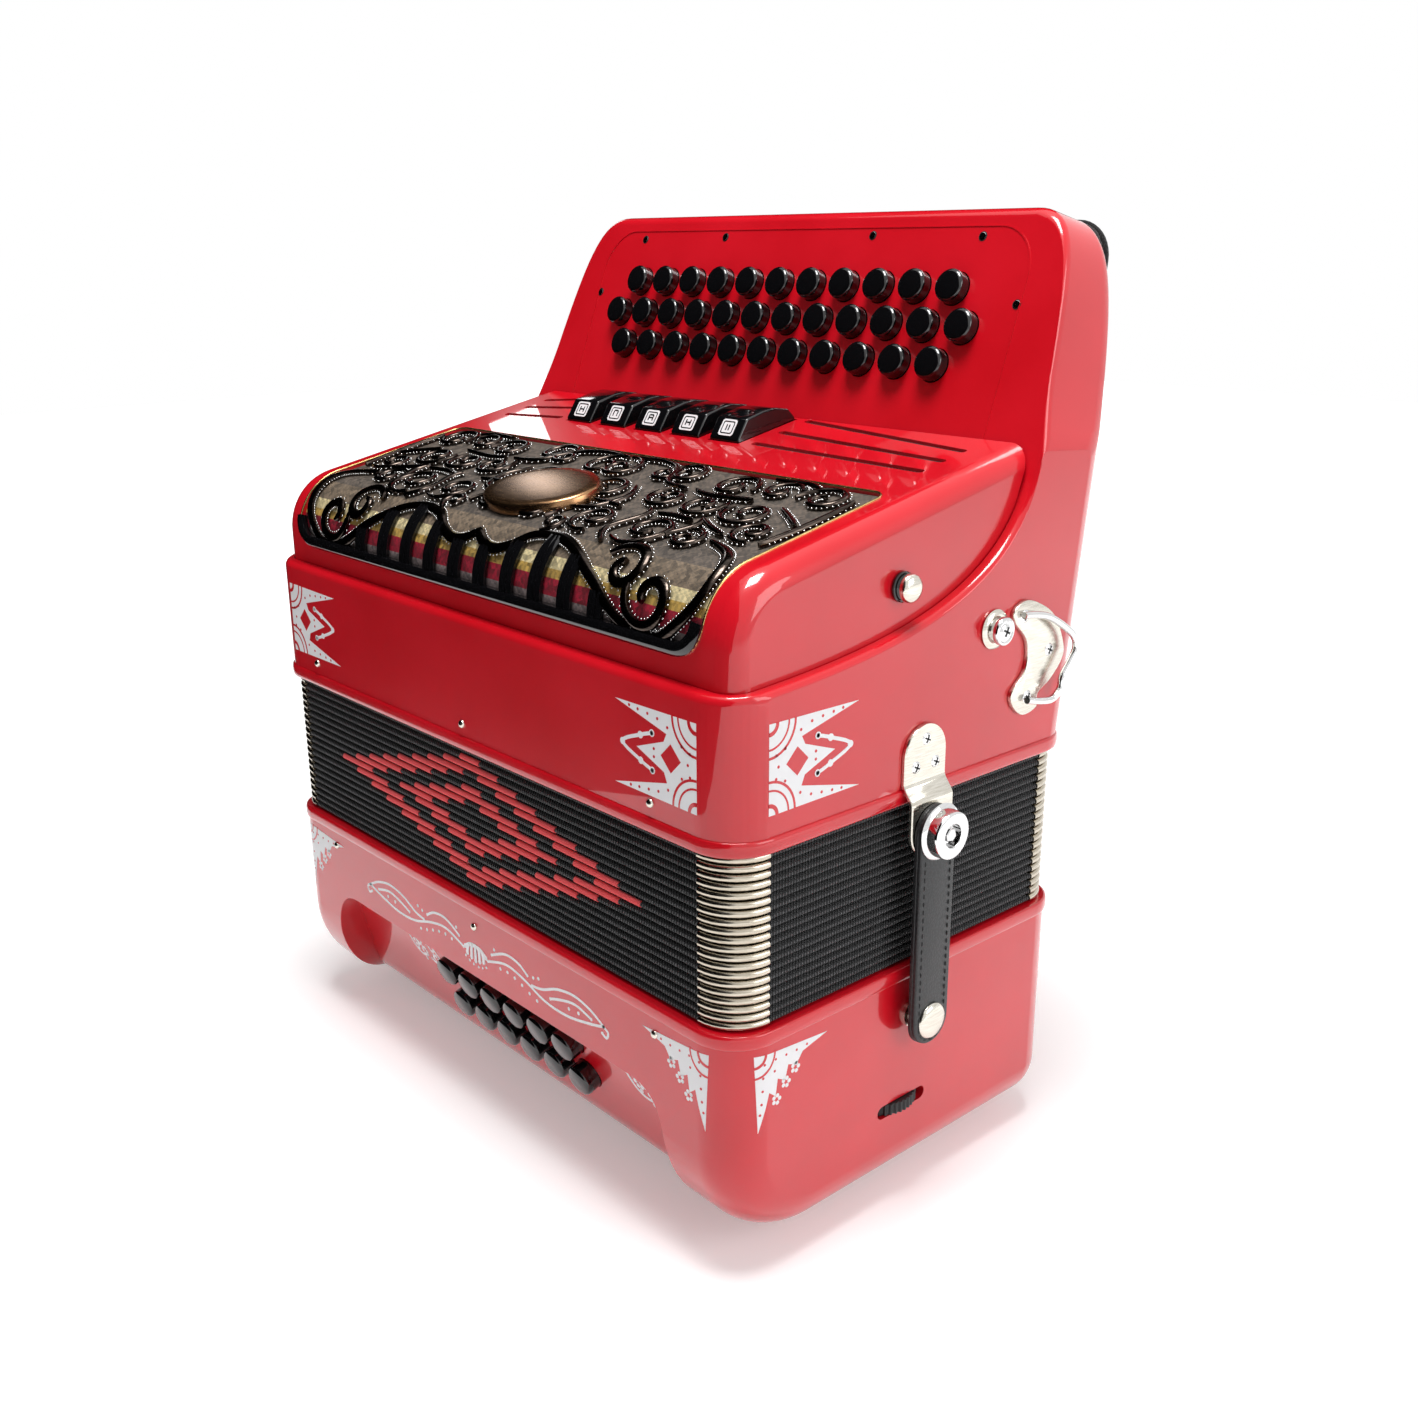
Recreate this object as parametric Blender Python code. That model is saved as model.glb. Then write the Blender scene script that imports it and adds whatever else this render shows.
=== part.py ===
# Diatonic button accordion: 34 treble buttons in three rows, 12 bass buttons,
# five register switches. It stands on its bass end. X runs along the casing,
# the grille, the bellows' motif and the bass buttons face -Y, the player sits
# at +Y, and the bellows opens along +Z. All sizes are in metres.
import math

import bmesh
import bpy
from mathutils import Matrix, Vector

for old in list(bpy.data.objects):
    bpy.data.objects.remove(old, do_unlink=True)

# Overall sizes
case_length = 0.310
case_depth = 0.1824
corner_radius = 0.018
foot_height = 0.007
bass_height = 0.0915
bellows_height = 0.0645
band_height = 0.0535
block_height = 0.200
seat_gap = 0.0003
board_skin = 0.0005

# Fingerboard block: its face leans back, its back leans out over the player
board_foot_y = 0.0167
board_lean = math.radians(20.7)
back_lean = math.radians(7.4)
block_edge_radius = 0.005
block_top_fall = 0.0035
rim_radius = 0.003
pad_thickness = 0.023
pad_low = 0.112
pad_high = 0.196
pad_half_length = 0.134
pad_corner_radius = 0.012
pad_bulge = 0.008

# Walls and chambers
cover_inset = 0.0055
cover_thickness = 0.003
cover_edge_radius = 0.009
cover_bend_radius = 0.026
cover_slope = 0.211
cover_height = 0.1055
cover_seat_height = 0.0455
ledge_width = 0.006
deck_low = 0.012
deck_high = 0.018
chamber_wall = 0.009
bass_floor_height = 0.043
bass_front_wall = 0.031
bass_back_wall = 0.019
bass_end_wall = 0.012
bass_edge_radius = 0.018
bass_front_edge_radius = 0.042

# Treble buttons
button_radius = 0.0065
button_height = 0.0055
button_pitch = 0.0189
button_row_pitch = 0.0151
button_top_row_height = 0.1709
button_stem = 0.0060
button_travel = 0.004
button_clearance = 0.0004
button_rows = (11, 12, 11)

# Register switches, and the sound slots on both sides of them
switch_count = 5
switch_pitch = 0.0246
switch_width = 0.0175
switch_centre_x = -0.0270
switch_front_y = 0.0265
switch_back_y = 0.0590
switch_height = 0.0085
switch_depth = 0.0035
switch_tail_setback = 0.0018
switch_gap = 0.0006
slot_count = 3
slot_width = 0.0032
slot_inner_y = 0.0283
slot_inner_pitch = 0.0150
slot_outer_y = 0.0238
slot_outer_pitch = 0.0116

# Grille window in the cover, measured along the bent surface from its back edge
grille_half_length = 0.1345
grille_back_y = 0.0005
grille_bottom_height = 0.0625
grille_corner_radius = 0.012
grille_frame = 0.0035
fret_width = 0.0024
border_width = 0.0036
fret_rise = 0.0008
fret_sink = 0.0013
fret_step = 0.00021
bar_count = 10
bar_pitch = 0.0178
bar_width = 0.0070
badge_half_length = 0.027
badge_half_width = 0.021
badge_s = 0.050
badge_rise = 0.0040

# Bass end
bass_button_radius = 0.0065
bass_button_height = 0.0070
bass_button_pitch = 0.0167
bass_button_shift = 0.0125
bass_row_offset = 0.0019
bass_row_pitch = 0.0163
bass_row_height = 0.0542
bass_row_count = 6
bass_button_stem = 0.0060
bass_button_travel = 0.005
recess_top = 0.0635
recess_lean = math.radians(18.0)
recess_depth = 0.0065
recess_half_length = 0.118
recess_bend_radius = 0.020
foot_radius = 0.008
foot_x = 0.117
foot_front_y = -0.040
foot_back_y = 0.060
strap_band_width = 0.046
strap_band_thickness = 0.003
strap_band_half_length = 0.134
strap_band_ramp = 0.028
wheel_radius = 0.016
wheel_thickness = 0.0044
wheel_proud = 0.0022
wheel_y = -0.0045
wheel_z = 0.0408
wheel_ridges = 20
wheel_axle_radius = 0.0020
air_button_radius = 0.007
air_button_height = 0.008
air_button_stem = 0.008
air_button_travel = 0.005
air_button_x = 0.085
air_button_z = 0.074

# Bellows
fold_count = 20
fold_depth = 0.0045
protector_fold_depth = 0.0013
protector_proud = 0.0006
bellows_inset = 0.0022
bellows_wall = 0.011

# Bellows straps and the hardware at both ends
strap_width = 0.019
strap_thickness = 0.003
strap_stand_off = 0.006
strap_pivot_z = -0.010
strap_reach = 0.075
strap_tail = 0.0095
pivot_pin_radius = 0.003
pivot_cup_radius = 0.011
pivot_cup_thickness = 0.003
plate_thickness = 0.0015
plate_width = 0.022
plate_top_z = 0.028
plate_joggle_z = 0.006
stud_radius = 0.0045
snap_radius = 0.007
snap_thickness = 0.002
park_angle = math.radians(60.4)
ring_rod_radius = 0.0014
thumbscrew_radius = 0.0050
thumbscrew_y = -0.008
thumbscrew_z = 0.0770
thumbscrew_length = 0.0065

half_length = case_length / 2
half_depth = case_depth / 2
bass_bottom = foot_height
bellows_bottom = foot_height + bass_height
bellows_top = bellows_bottom + bellows_height
cover_half_length = half_length - cover_inset
cover_front = -half_depth + cover_inset
round_segments = 12


def make_material(name, colour, roughness, metallic=0.0):
    material = bpy.data.materials.new(name)
    material.use_nodes = True
    shader = material.node_tree.nodes["Principled BSDF"]
    shader.inputs["Base Color"].default_value = (*colour, 1.0)
    shader.inputs["Roughness"].default_value = roughness
    shader.inputs["Metallic"].default_value = metallic
    material.diffuse_color = (*colour, 1.0)
    return material


red_lacquer = make_material("red_lacquer", (0.62, 0.008, 0.018), 0.12)
black_gloss = make_material("black_gloss", (0.012, 0.012, 0.014), 0.18)
black_cloth = make_material("black_cloth", (0.02, 0.02, 0.022), 0.85)
black_leather = make_material("black_leather", (0.025, 0.025, 0.027), 0.55)
cover_paint = make_material("cover_paint", (0.66, 0.010, 0.020), 0.14)
wheel_plastic = make_material("wheel_plastic", (0.03, 0.03, 0.032), 0.45)


def bezier(points, t):
    # Point at t on the curve of two, three or four control points
    points = [Vector(p) for p in points]
    while len(points) > 1:
        points = [a.lerp(b, t) for a, b in zip(points, points[1:])]
    return points[0]


def add_object(name, mesh, material, origin=(0, 0, 0)):
    # The mesh is in world coordinates; the object's origin goes to its joint's axis
    origin = Vector(origin)
    mesh.transform(Matrix.Translation(-origin))
    mesh.materials.clear()
    mesh.materials.append(material)
    thing = bpy.data.objects.new(name, mesh)
    thing.location = origin
    bpy.context.collection.objects.link(thing)
    return thing


def finish_mesh(bm, name):
    bmesh.ops.recalc_face_normals(bm, faces=bm.faces)
    mesh = bpy.data.meshes.new(name)
    bm.to_mesh(mesh)
    bm.free()
    mesh.shade_smooth()
    mesh.set_sharp_from_angle(angle=math.radians(35))
    return mesh


def add_loft(bm, rings, closed=False):
    # Skin through rings of equal length, capped at both ends or closed to a loop
    loops = [[bm.verts.new(p) for p in ring] for ring in rings]
    count = len(loops[0])
    for low, high in zip(loops, loops[1:] + (loops[:1] if closed else [])):
        for i in range(count):
            j = (i + 1) % count
            bm.faces.new((low[i], low[j], high[j], high[i]))
    if not closed:
        bm.faces.new(loops[0][::-1])
        bm.faces.new(loops[-1])


def add_prism(bm, outline, thickness_axis, low, high):
    # Outline of (u, v) pairs pulled along an axis; u and v are the other two axes in order
    def place(u, v, w):
        if thickness_axis == "X":
            return (w, u, v)
        if thickness_axis == "Y":
            return (u, w, v)
        return (u, v, w)
    add_loft(bm, [[place(u, v, w) for u, v in outline] for w in (low, high)])


def add_cylinder(bm, centre, direction, radius, length, segments=round_segments, top_bevel=0.0):
    # Starts at centre and runs along direction; the far edge may be bevelled
    turn = Vector((0, 0, 1)).rotation_difference(Vector(direction)).to_matrix()
    steps = [(0.0, radius), (length - top_bevel, radius)]
    if top_bevel > 0.0:
        steps.append((length, radius - top_bevel))
    rings = []
    for height, size in steps:
        ring = []
        for i in range(segments):
            angle = 2 * math.pi * i / segments
            local = Vector((size * math.cos(angle), size * math.sin(angle), height))
            ring.append(Vector(centre) + turn @ local)
        rings.append(ring)
    add_loft(bm, rings)


def apply_boolean(thing, bm, operation, use_self=False):
    # Joins or cuts with the shapes in bm, then removes the tool
    bmesh.ops.recalc_face_normals(bm, faces=bm.faces)
    if bm.calc_volume(signed=True) < 0:
        bmesh.ops.reverse_faces(bm, faces=bm.faces)
    tool_mesh = bpy.data.meshes.new(thing.name + "_tool")
    bm.to_mesh(tool_mesh)
    bm.free()
    tool_mesh.transform(Matrix.Translation(-thing.location))
    tool = bpy.data.objects.new(thing.name + "_tool", tool_mesh)
    tool.location = thing.location
    tool.hide_render = True
    tool.display_type = "WIRE"
    bpy.context.collection.objects.link(tool)
    modifier = thing.modifiers.new("shape", "BOOLEAN")
    modifier.operation = operation
    modifier.solver = "EXACT"
    modifier.use_self = use_self
    modifier.object = tool
    graph = bpy.context.evaluated_depsgraph_get()
    result = bpy.data.meshes.new_from_object(thing.evaluated_get(graph))
    thing.modifiers.clear()
    thing.data = result
    bpy.data.objects.remove(tool, do_unlink=True)


def tidy(thing):
    # Merges the flat fragments that the cuts leave and shades the piece
    bm = bmesh.new()
    bm.from_mesh(thing.data)
    bmesh.ops.dissolve_limit(bm, angle_limit=math.radians(0.2), verts=bm.verts, edges=bm.edges)
    bm.to_mesh(thing.data)
    bm.free()
    thing.data.shade_smooth()
    thing.data.set_sharp_from_angle(angle=math.radians(35))


def setback(x, radius, half):
    # How far a rounded end sets a face back at x
    over = abs(x) - (half - radius)
    if over <= 0.0:
        return 0.0
    return radius - math.sqrt(max(radius ** 2 - over ** 2, 0.0))


def end_positions(radius, half, steps):
    # Positions from the start of a rounded end to its tip, evenly round the arc
    start = half - radius
    return [start + radius * math.sin(math.pi / 2 * i / steps) for i in range(steps + 1)]


def mirrored(positions):
    return [-x for x in reversed(positions) if x > 0.0] + positions


def rounded_rectangle(half_x, half_y, radius, corner_steps):
    # Anticlockwise outline, starting in the corner at +X, +Y
    outline = []
    for quarter, (sx, sy) in enumerate(((1, 1), (-1, 1), (-1, -1), (1, -1))):
        for i in range(corner_steps + 1):
            angle = math.pi / 2 * (quarter + i / corner_steps)
            outline.append((sx * (half_x - radius) + radius * math.cos(angle),
                            sy * (half_y - radius) + radius * math.sin(angle)))
    return outline


# Heights below are measured from the bottom of the treble case, where the bellows ends
def board_y(z):
    return board_foot_y + math.tan(board_lean) * z


def back_y(z):
    return half_depth + math.tan(back_lean) * z


rim_meets_board = band_height + 0.0595
rim_curve = ((-half_depth, band_height), (0.0, band_height + 0.0035),
             (board_y(rim_meets_board) - 0.0105, band_height + 0.0185),
             (board_y(rim_meets_board), rim_meets_board))


def rim_t(y):
    low, high = 0.0, 1.0
    for _ in range(30):
        middle = (low + high) / 2
        if bezier(rim_curve, middle)[0] < y:
            low = middle
        else:
            high = middle
    return low


# Half of the block's outline seen from the front: top edge, round corner, splayed foot
shoulder_height = block_height - 0.052
flare_height = block_height - 0.082
block_corner = ((half_length - 0.0345, block_height), (half_length - 0.017, block_height),
                (half_length - 0.0125, block_height - 0.014), (half_length - 0.007, shoulder_height))
block_flare = ((half_length - 0.007, shoulder_height),
               (half_length - 0.0052, shoulder_height - 0.016),
               (half_length, flare_height))


def block_outline():
    points = [bezier(block_corner, t) for t in (0.0, 0.15, 0.3, 0.45, 0.6, 0.8, 1.0)]
    points += [bezier(block_flare, t) for t in (0.4, 0.7, 1.0)]
    return [(p[0], p[1]) for p in points]


def block_top(x):
    outline = block_outline()
    if abs(x) <= outline[0][0]:
        return outline[0][1]
    for (x0, z0), (x1, z1) in zip(outline, outline[1:]):
        if abs(x) <= x1:
            return z0 + (z1 - z0) * (abs(x) - x0) / (x1 - x0)
    return outline[-1][1]


def treble_section(x):
    # Outline in Y and Z of the whole treble case at x, before its chambers are cut
    front = -half_depth + setback(x, corner_radius, half_length)
    drop = setback(x, rim_radius, half_length)
    top = block_top(x) - drop
    points = [(front, 0.0)]
    start = rim_t(front + rim_radius)
    rim_start = bezier(rim_curve, start)
    for angle in (0.0, math.pi / 4):
        points.append((front + rim_radius * (1 - math.cos(angle)),
                       rim_start[1] - drop - rim_radius * (1 - math.sin(angle))))
    for i in range(9):
        p = bezier(rim_curve, start + (1 - start) * i / 8)
        points.append((p[0], p[1] - drop))
    radius = min(block_edge_radius, 0.7 * (top - rim_meets_board + drop))
    centre_z = top - radius
    centre_y = board_y(centre_z) + radius / math.cos(board_lean)
    for i in range(4):
        angle = board_lean + (math.pi / 2 - board_lean) * i / 3
        points.append((centre_y - radius * math.cos(angle), centre_z + radius * math.sin(angle)))
    back_shift = setback(x, corner_radius, half_length)
    centre_z -= min(block_top_fall, 0.3 * (top - rim_meets_board + drop))
    centre_y = back_y(centre_z) - back_shift - radius / math.cos(back_lean)
    for i in range(4):
        angle = math.pi / 2 - (math.pi / 2 + back_lean) * i / 3
        points.append((centre_y + radius * math.cos(angle), centre_z + radius * math.sin(angle)))
    points.append((back_y(0.0) - back_shift, 0.0))
    return points


def add_wall_prism(bm, half, front, radius, low, high, back_gap):
    # Block between the front wall and the board's plane, with round front corners
    positions = mirrored([0.0] + end_positions(radius, half, 4))
    rings = []
    for x in positions:
        y = front + setback(x, radius, half)
        outline = ((y, low), (y, high), (board_y(high) - back_gap, high), (board_y(low) - back_gap, low))
        rings.append([(x, u, bellows_top + v) for u, v in outline])
    add_loft(bm, rings)


board_normal = Vector((0, -math.cos(board_lean), math.sin(board_lean)))
board_down = Vector((0, -math.sin(board_lean), -math.cos(board_lean)))


def treble_button_places():
    places = []
    for row, count in enumerate(button_rows):
        z = button_top_row_height
        start = Vector((0, board_y(z), bellows_top + z)) + board_down * button_row_pitch * row
        for i in range(count):
            x = (i - (count - 1) / 2) * button_pitch
            places.append((f"treble_button_{row + 1}_{i + 1:02d}", start + Vector((x, 0, 0))))
    return places


strap_inner_x = half_length + strap_stand_off
strap_outer_x = strap_inner_x + strap_thickness
pivot = Vector((0, 0, bellows_top + strap_pivot_z))
snap_z = pivot.z - strap_reach
park_y = strap_reach * math.cos(park_angle)
park_z = pivot.z + strap_reach * math.sin(park_angle)


def join(thing, add, *values, **options):
    # Unites one more closed shape with the piece
    bm = bmesh.new()
    add(bm, *values, **options)
    apply_boolean(thing, bm, "UNION")


def join_end_hardware(case, side):
    # Strap plate with its pivot, parking stud and strap ring of one end of the treble case
    wall = half_length - 0.001
    face = half_length + plate_thickness
    half = plate_width / 2
    z0 = bellows_top
    top = z0 + plate_top_z - half
    upper = [(half * math.cos(math.pi * i / 8), top + half * math.sin(math.pi * i / 8)) for i in range(9)]
    upper += [(-half, z0 + plate_joggle_z), (half, z0 + plate_joggle_z)]
    join(case, add_prism, upper, "X", side * wall, side * face)
    joggle_x = strap_inner_x - seat_gap - plate_thickness
    cross = []
    for x, z in ((wall - 0.0005, z0 + plate_joggle_z + 0.0010), (face - 0.0002, z0 + plate_joggle_z + 0.0010),
                 (joggle_x + plate_thickness, z0 + 0.0010), (joggle_x + plate_thickness, pivot.z - 0.0060),
                 (joggle_x, pivot.z - 0.0060), (joggle_x, z0 + 0.0005),
                 (wall - 0.0005, z0 + plate_joggle_z - 0.0040)):
        cross.append((side * x, z))
    low_half = pivot_cup_radius - 0.0015
    join(case, add_prism, cross, "Y", -low_half, low_half)
    join(case, add_cylinder, (side * (joggle_x + 0.0005), 0, pivot.z), (side, 0, 0), pivot_pin_radius,
         strap_outer_x + 0.001 - joggle_x)
    join(case, add_cylinder, (side * (strap_outer_x + seat_gap), 0, pivot.z), (side, 0, 0), pivot_cup_radius,
         pivot_cup_thickness, top_bevel=0.0012)
    join(case, add_cylinder, (side * wall, park_y, park_z), (side, 0, 0), stud_radius + 0.002, 0.003)
    join(case, add_cylinder, (side * (wall + 0.001), park_y, park_z), (side, 0, 0), stud_radius,
         strap_inner_x - seat_gap - wall - 0.001, top_bevel=0.0008)
    # Curved plate of the shoulder strap's ring
    back_edge = ((0.0550, 0.0632), (0.0900, 0.0580), (0.0800, 0.0290), (0.0600, 0.0190))
    front_edge = ((0.0485, 0.0205), (0.0470, 0.0300), (0.0640, 0.0360), (0.0560, 0.0480), (0.0470, 0.0540),
                  (0.0480, 0.0620))
    outline = [bezier(back_edge, i / 8) for i in range(9)] + [bezier(front_edge, i / 7) for i in range(8)]
    join(case, add_prism, [(p[0], z0 + p[1]) for p in outline], "X", side * (wall + 0.0003),
         side * (face + 0.0001))
    join(case, add_ring, side)


def add_ring(bm, side):
    # D-shaped rod whose two feet stand in the curved plate
    path = []
    for i in range(11):
        t = i / 10
        p = bezier(((0.0540, 0.0575), (0.0920, 0.0560), (0.0900, 0.0200), (0.0580, 0.0255)), t)
        lift = math.sin(math.pi * t)
        path.append(Vector((half_length + 0.0012 + 0.0020 * lift, p[0], bellows_top + p[1])))
    path[0].x = half_length - 0.0005
    path[-1].x = half_length - 0.0005
    rings = []
    for i, point in enumerate(path):
        ahead = path[min(i + 1, len(path) - 1)] - path[max(i - 1, 0)]
        sideways = ahead.cross(Vector((1, 0, 0))).normalized()
        normal = sideways.cross(ahead).normalized()
        ring = []
        for k in range(6):
            angle = 2 * math.pi * k / 6
            offset = sideways * math.cos(angle) + normal * math.sin(angle)
            place = point + offset * ring_rod_radius
            ring.append((side * place.x, place.y, place.z))
        rings.append(ring)
    add_loft(bm, rings)


def make_treble_case():
    positions = sorted(set([0.0] + [p[0] for p in block_outline()]
                           + end_positions(rim_radius, half_length, 2)))
    bm = bmesh.new()
    add_loft(bm, [[(x, y, bellows_top + z) for y, z in treble_section(x)] for x in mirrored(positions)])
    case = add_object("treble_case", finish_mesh(bm, "treble_case"), red_lacquer)

    # Back pad, felt-covered, on the block's back
    bm = bmesh.new()
    rings = []
    for x in mirrored([0.0] + end_positions(pad_corner_radius, pad_half_length, 3)):
        inset = setback(x, pad_corner_radius, pad_half_length)
        thickness = pad_thickness - inset * 0.6
        low = pad_low + inset
        high = pad_high - inset
        outline = ((back_y(low) - 0.002, low), (back_y(high) - 0.002, high),
                   (back_y(high) + thickness * 0.35, high), (back_y(high) + thickness, high - pad_bulge * 1.6),
                   (back_y(low) + thickness, low + pad_bulge), (back_y(low) + thickness * 0.4, low))
        rings.append([(x, y, bellows_top + z) for y, z in outline])
    add_loft(bm, rings)
    apply_boolean(case, bm, "UNION")

    # Well for the grille cover, the narrower well below its seat, and the bellows' mouth
    bm = bmesh.new()
    well_half = cover_half_length + seat_gap
    well_front = cover_front - seat_gap
    add_wall_prism(bm, well_half, well_front, cover_edge_radius, cover_seat_height - seat_gap,
                   block_height + 0.02, board_skin)
    apply_boolean(case, bm, "DIFFERENCE")
    bm = bmesh.new()
    add_wall_prism(bm, well_half - ledge_width, well_front + ledge_width, cover_edge_radius,
                   deck_high, cover_seat_height + 0.001, board_skin)
    apply_boolean(case, bm, "DIFFERENCE")
    bm = bmesh.new()
    mouth = rounded_rectangle(half_length - chamber_wall, half_depth - chamber_wall, corner_radius / 2, 3)
    add_prism(bm, mouth, "Z", bellows_top - 0.001, bellows_top + deck_low)
    apply_boolean(case, bm, "DIFFERENCE")

    # Guide bores of the 34 buttons
    bm = bmesh.new()
    depth = button_stem + button_travel + 0.0006
    for _, place in treble_button_places():
        add_cylinder(bm, place - board_normal * depth, board_normal, button_radius + button_clearance,
                     depth + 0.003)
    apply_boolean(case, bm, "DIFFERENCE")

    for side in (-1, 1):
        join_end_hardware(case, side)
    tidy(case)


def cover_top_line(inset):
    return cover_height - inset / math.cos(math.atan(cover_slope))


def cover_profile(inset, bottom, back_gap, bend_steps=6):
    # Outline in Y and Z of the cover, moved inwards by inset; open sides are the last two points
    top = cover_top_line(inset)
    front = cover_front + inset
    radius = cover_bend_radius - inset
    slope_angle = math.atan(cover_slope)
    turn = math.pi / 2 - slope_angle
    centre_y = front + radius
    centre_z = top + cover_slope * centre_y - radius / math.cos(slope_angle)
    points = [(front, bottom)]
    for i in range(bend_steps + 1):
        angle = turn * i / bend_steps
        points.append((centre_y - radius * math.cos(angle), centre_z + radius * math.sin(angle)))
    k = math.tan(board_lean)
    back_top_y = (board_foot_y - back_gap + k * top) / (1 - k * cover_slope)
    points.append((back_top_y, top + cover_slope * back_top_y))
    points.append((board_y(bottom) - back_gap, bottom))
    return points


def cover_surface(x, s, rise):
    # Point on the cover: s runs forward from the grille's back edge, down round the bend
    slope_angle = math.atan(cover_slope)
    turn = math.pi / 2 - slope_angle
    centre_y = cover_front + cover_bend_radius
    centre_z = cover_height + cover_slope * centre_y - cover_bend_radius / math.cos(slope_angle)
    bend_top_y = centre_y - cover_bend_radius * math.cos(turn)
    flat = (grille_back_y - bend_top_y) / math.cos(slope_angle)
    arc = cover_bend_radius * turn
    if s <= flat:
        y = grille_back_y - s * math.cos(slope_angle)
        z = cover_height + cover_slope * y
        normal = (-math.sin(slope_angle), math.cos(slope_angle))
    elif s <= flat + arc:
        angle = turn - (s - flat) / cover_bend_radius
        normal = (-math.cos(angle), math.sin(angle))
        y = centre_y + cover_bend_radius * normal[0]
        z = centre_z + cover_bend_radius * normal[1]
    else:
        normal = (-1.0, 0.0)
        y = cover_front
        z = centre_z - (s - flat - arc)
    return Vector((x, y + normal[0] * rise, bellows_top + z + normal[1] * rise))


def grille_length():
    # Length of the window along the surface
    slope_angle = math.atan(cover_slope)
    turn = math.pi / 2 - slope_angle
    centre_y = cover_front + cover_bend_radius
    centre_z = cover_height + cover_slope * centre_y - cover_bend_radius / math.cos(slope_angle)
    flat = (grille_back_y - (centre_y - cover_bend_radius * math.cos(turn))) / math.cos(slope_angle)
    return flat + cover_bend_radius * turn + centre_z - grille_bottom_height


window_length = grille_length()


def add_ribbon(bm, path, width, rise, sink):
    # Rectangular bar along a path of (x, s) pairs, laid flat; a path that ends at its start is a loop
    closed = (Vector(path[0]) - Vector(path[-1])).length < 1e-6
    if closed:
        path = path[:-1]
    rings = []
    for i, point in enumerate(path):
        before = Vector(path[i - 1] if closed else path[max(i - 1, 0)])
        after = Vector(path[(i + 1) % len(path)] if closed else path[min(i + 1, len(path) - 1)])
        ahead = (after - before).normalized()
        across = Vector((-ahead.y, ahead.x)) * width / 2
        left = Vector(point) + across
        right = Vector(point) - across
        rings.append([(left.x, left.y, -sink), (left.x, left.y, rise),
                      (right.x, right.y, rise), (right.x, right.y, -sink)])
    add_loft(bm, rings, closed)


def circle_path(centre, radius, steps):
    angles = [circle_turn + 2 * math.pi * (i % steps) / steps for i in range(steps + 1)]
    return [(centre[0] + radius * math.cos(a), centre[1] + radius * math.sin(a)) for a in angles]


def hook_path(centre, radius, way, end_share, steps):
    # Volute from a circle's far side inwards
    path = []
    for i in range(steps + 1):
        angle = math.pi / 2 + way * 1.1 * math.pi * i / steps
        size = radius * (1 - (1 - end_share) * i / steps)
        path.append((centre[0] + size * math.cos(angle), centre[1] + size * math.sin(angle)))
    return path


def smooth_path(points, pieces):
    # Rounds a line of points by passing through the middles of its legs
    path = [points[0]]
    for before, corner, after in zip(points, points[1:], points[2:]):
        start = Vector(before).lerp(Vector(corner), 0.5)
        end = Vector(corner).lerp(Vector(after), 0.5)
        path += [tuple(bezier((start, corner, end), i / pieces)) for i in range(pieces)]
    path.append(points[-1])
    return path


# Scrollwork of one half in (x, s), the other half mirrors it; drawn for drawn_length
# and drawn out with the window when the casing's depth changes
drawn_length = 0.10628
stretch = window_length / drawn_length
arch_points = ((0.0, 0.0800), (0.0080, 0.0880), (0.0230, 0.0880), (0.0320, 0.0770), (0.0500, 0.0755),
               (0.0660, 0.0830), (0.0810, 0.0930), (0.0920, 0.1030), (0.0980, 0.1060))
centre_stem = ((0.0, 0.0010), (0.0, 0.0830))
badge_tie = ((0.0200, 0.0505), (0.0360, 0.0505))
leaf_points = ((0.1100, 0.1062), (0.1230, 0.1010), (0.1345, 0.0900), (0.1310, 0.0680), (0.1140, 0.0580),
               (0.0980, 0.0600), (0.0990, 0.0740))
scrolls = ((0.0200, 0.0165, 0.0140, 0), (0.0720, 0.0165, 0.0140, 0), (0.1130, 0.0165, 0.0140, 0),
           (0.0460, 0.0380, 0.0135, 0), (0.0980, 0.0390, 0.0130, 0), (0.0460, 0.0640, 0.0140, 0),
           (0.0760, 0.0620, 0.0145, 1))
volutes = ((0.0880, 0.0835, 0.0110, 1), (0.1060, 0.0900, 0.0125, -1))
hook_steps = 4
circle_steps = 8
circle_turn = 0.21


def stretched(points):
    return [(x, s * stretch) for x, s in points]


def arch_height(x):
    path = smooth_path(stretched(arch_points), 2)
    for (x0, s0), (x1, s1) in zip(path, path[1:]):
        if x0 <= abs(x) <= x1:
            return s0 + (s1 - s0) * (abs(x) - x0) / (x1 - x0)
    return path[-1][1]


def fret_paths():
    # Every bar of the filigree as (path, width)
    half_arch = smooth_path(stretched(arch_points), 2)
    arch = [(-x, s) for x, s in reversed(half_arch)][:-1] + half_arch
    paths = [(arch, border_width), (stretched(centre_stem), fret_width)]
    for i in range(bar_count):
        x = (i - (bar_count - 1) / 2) * bar_pitch
        low = arch_height(x)
        paths.append(([(x, low + (window_length - low) * k / 3) for k in range(4)], bar_width))
    for side in (-1, 1):
        for group, width in ((scrolls, fret_width), (volutes, border_width)):
            for x, s, radius, way in group:
                centre = (side * x, s * stretch)
                paths.append((circle_path(centre, radius, circle_steps), width))
                if way:
                    hook = hook_path(centre, radius, side * way, 0.35, hook_steps)
                    paths.append((hook, width * 0.85))
        paths.append(([(side * x, s) for x, s in smooth_path(stretched(leaf_points), 2)], fret_width))
        paths.append(([(side * x, s) for x, s in stretched(badge_tie)], fret_width))
    return paths


def badge_outline(steps=24):
    return [(badge_half_length * math.cos(2 * math.pi * i / steps),
             badge_s * stretch + badge_half_width * math.sin(2 * math.pi * i / steps))
            for i in range(steps)]


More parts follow.
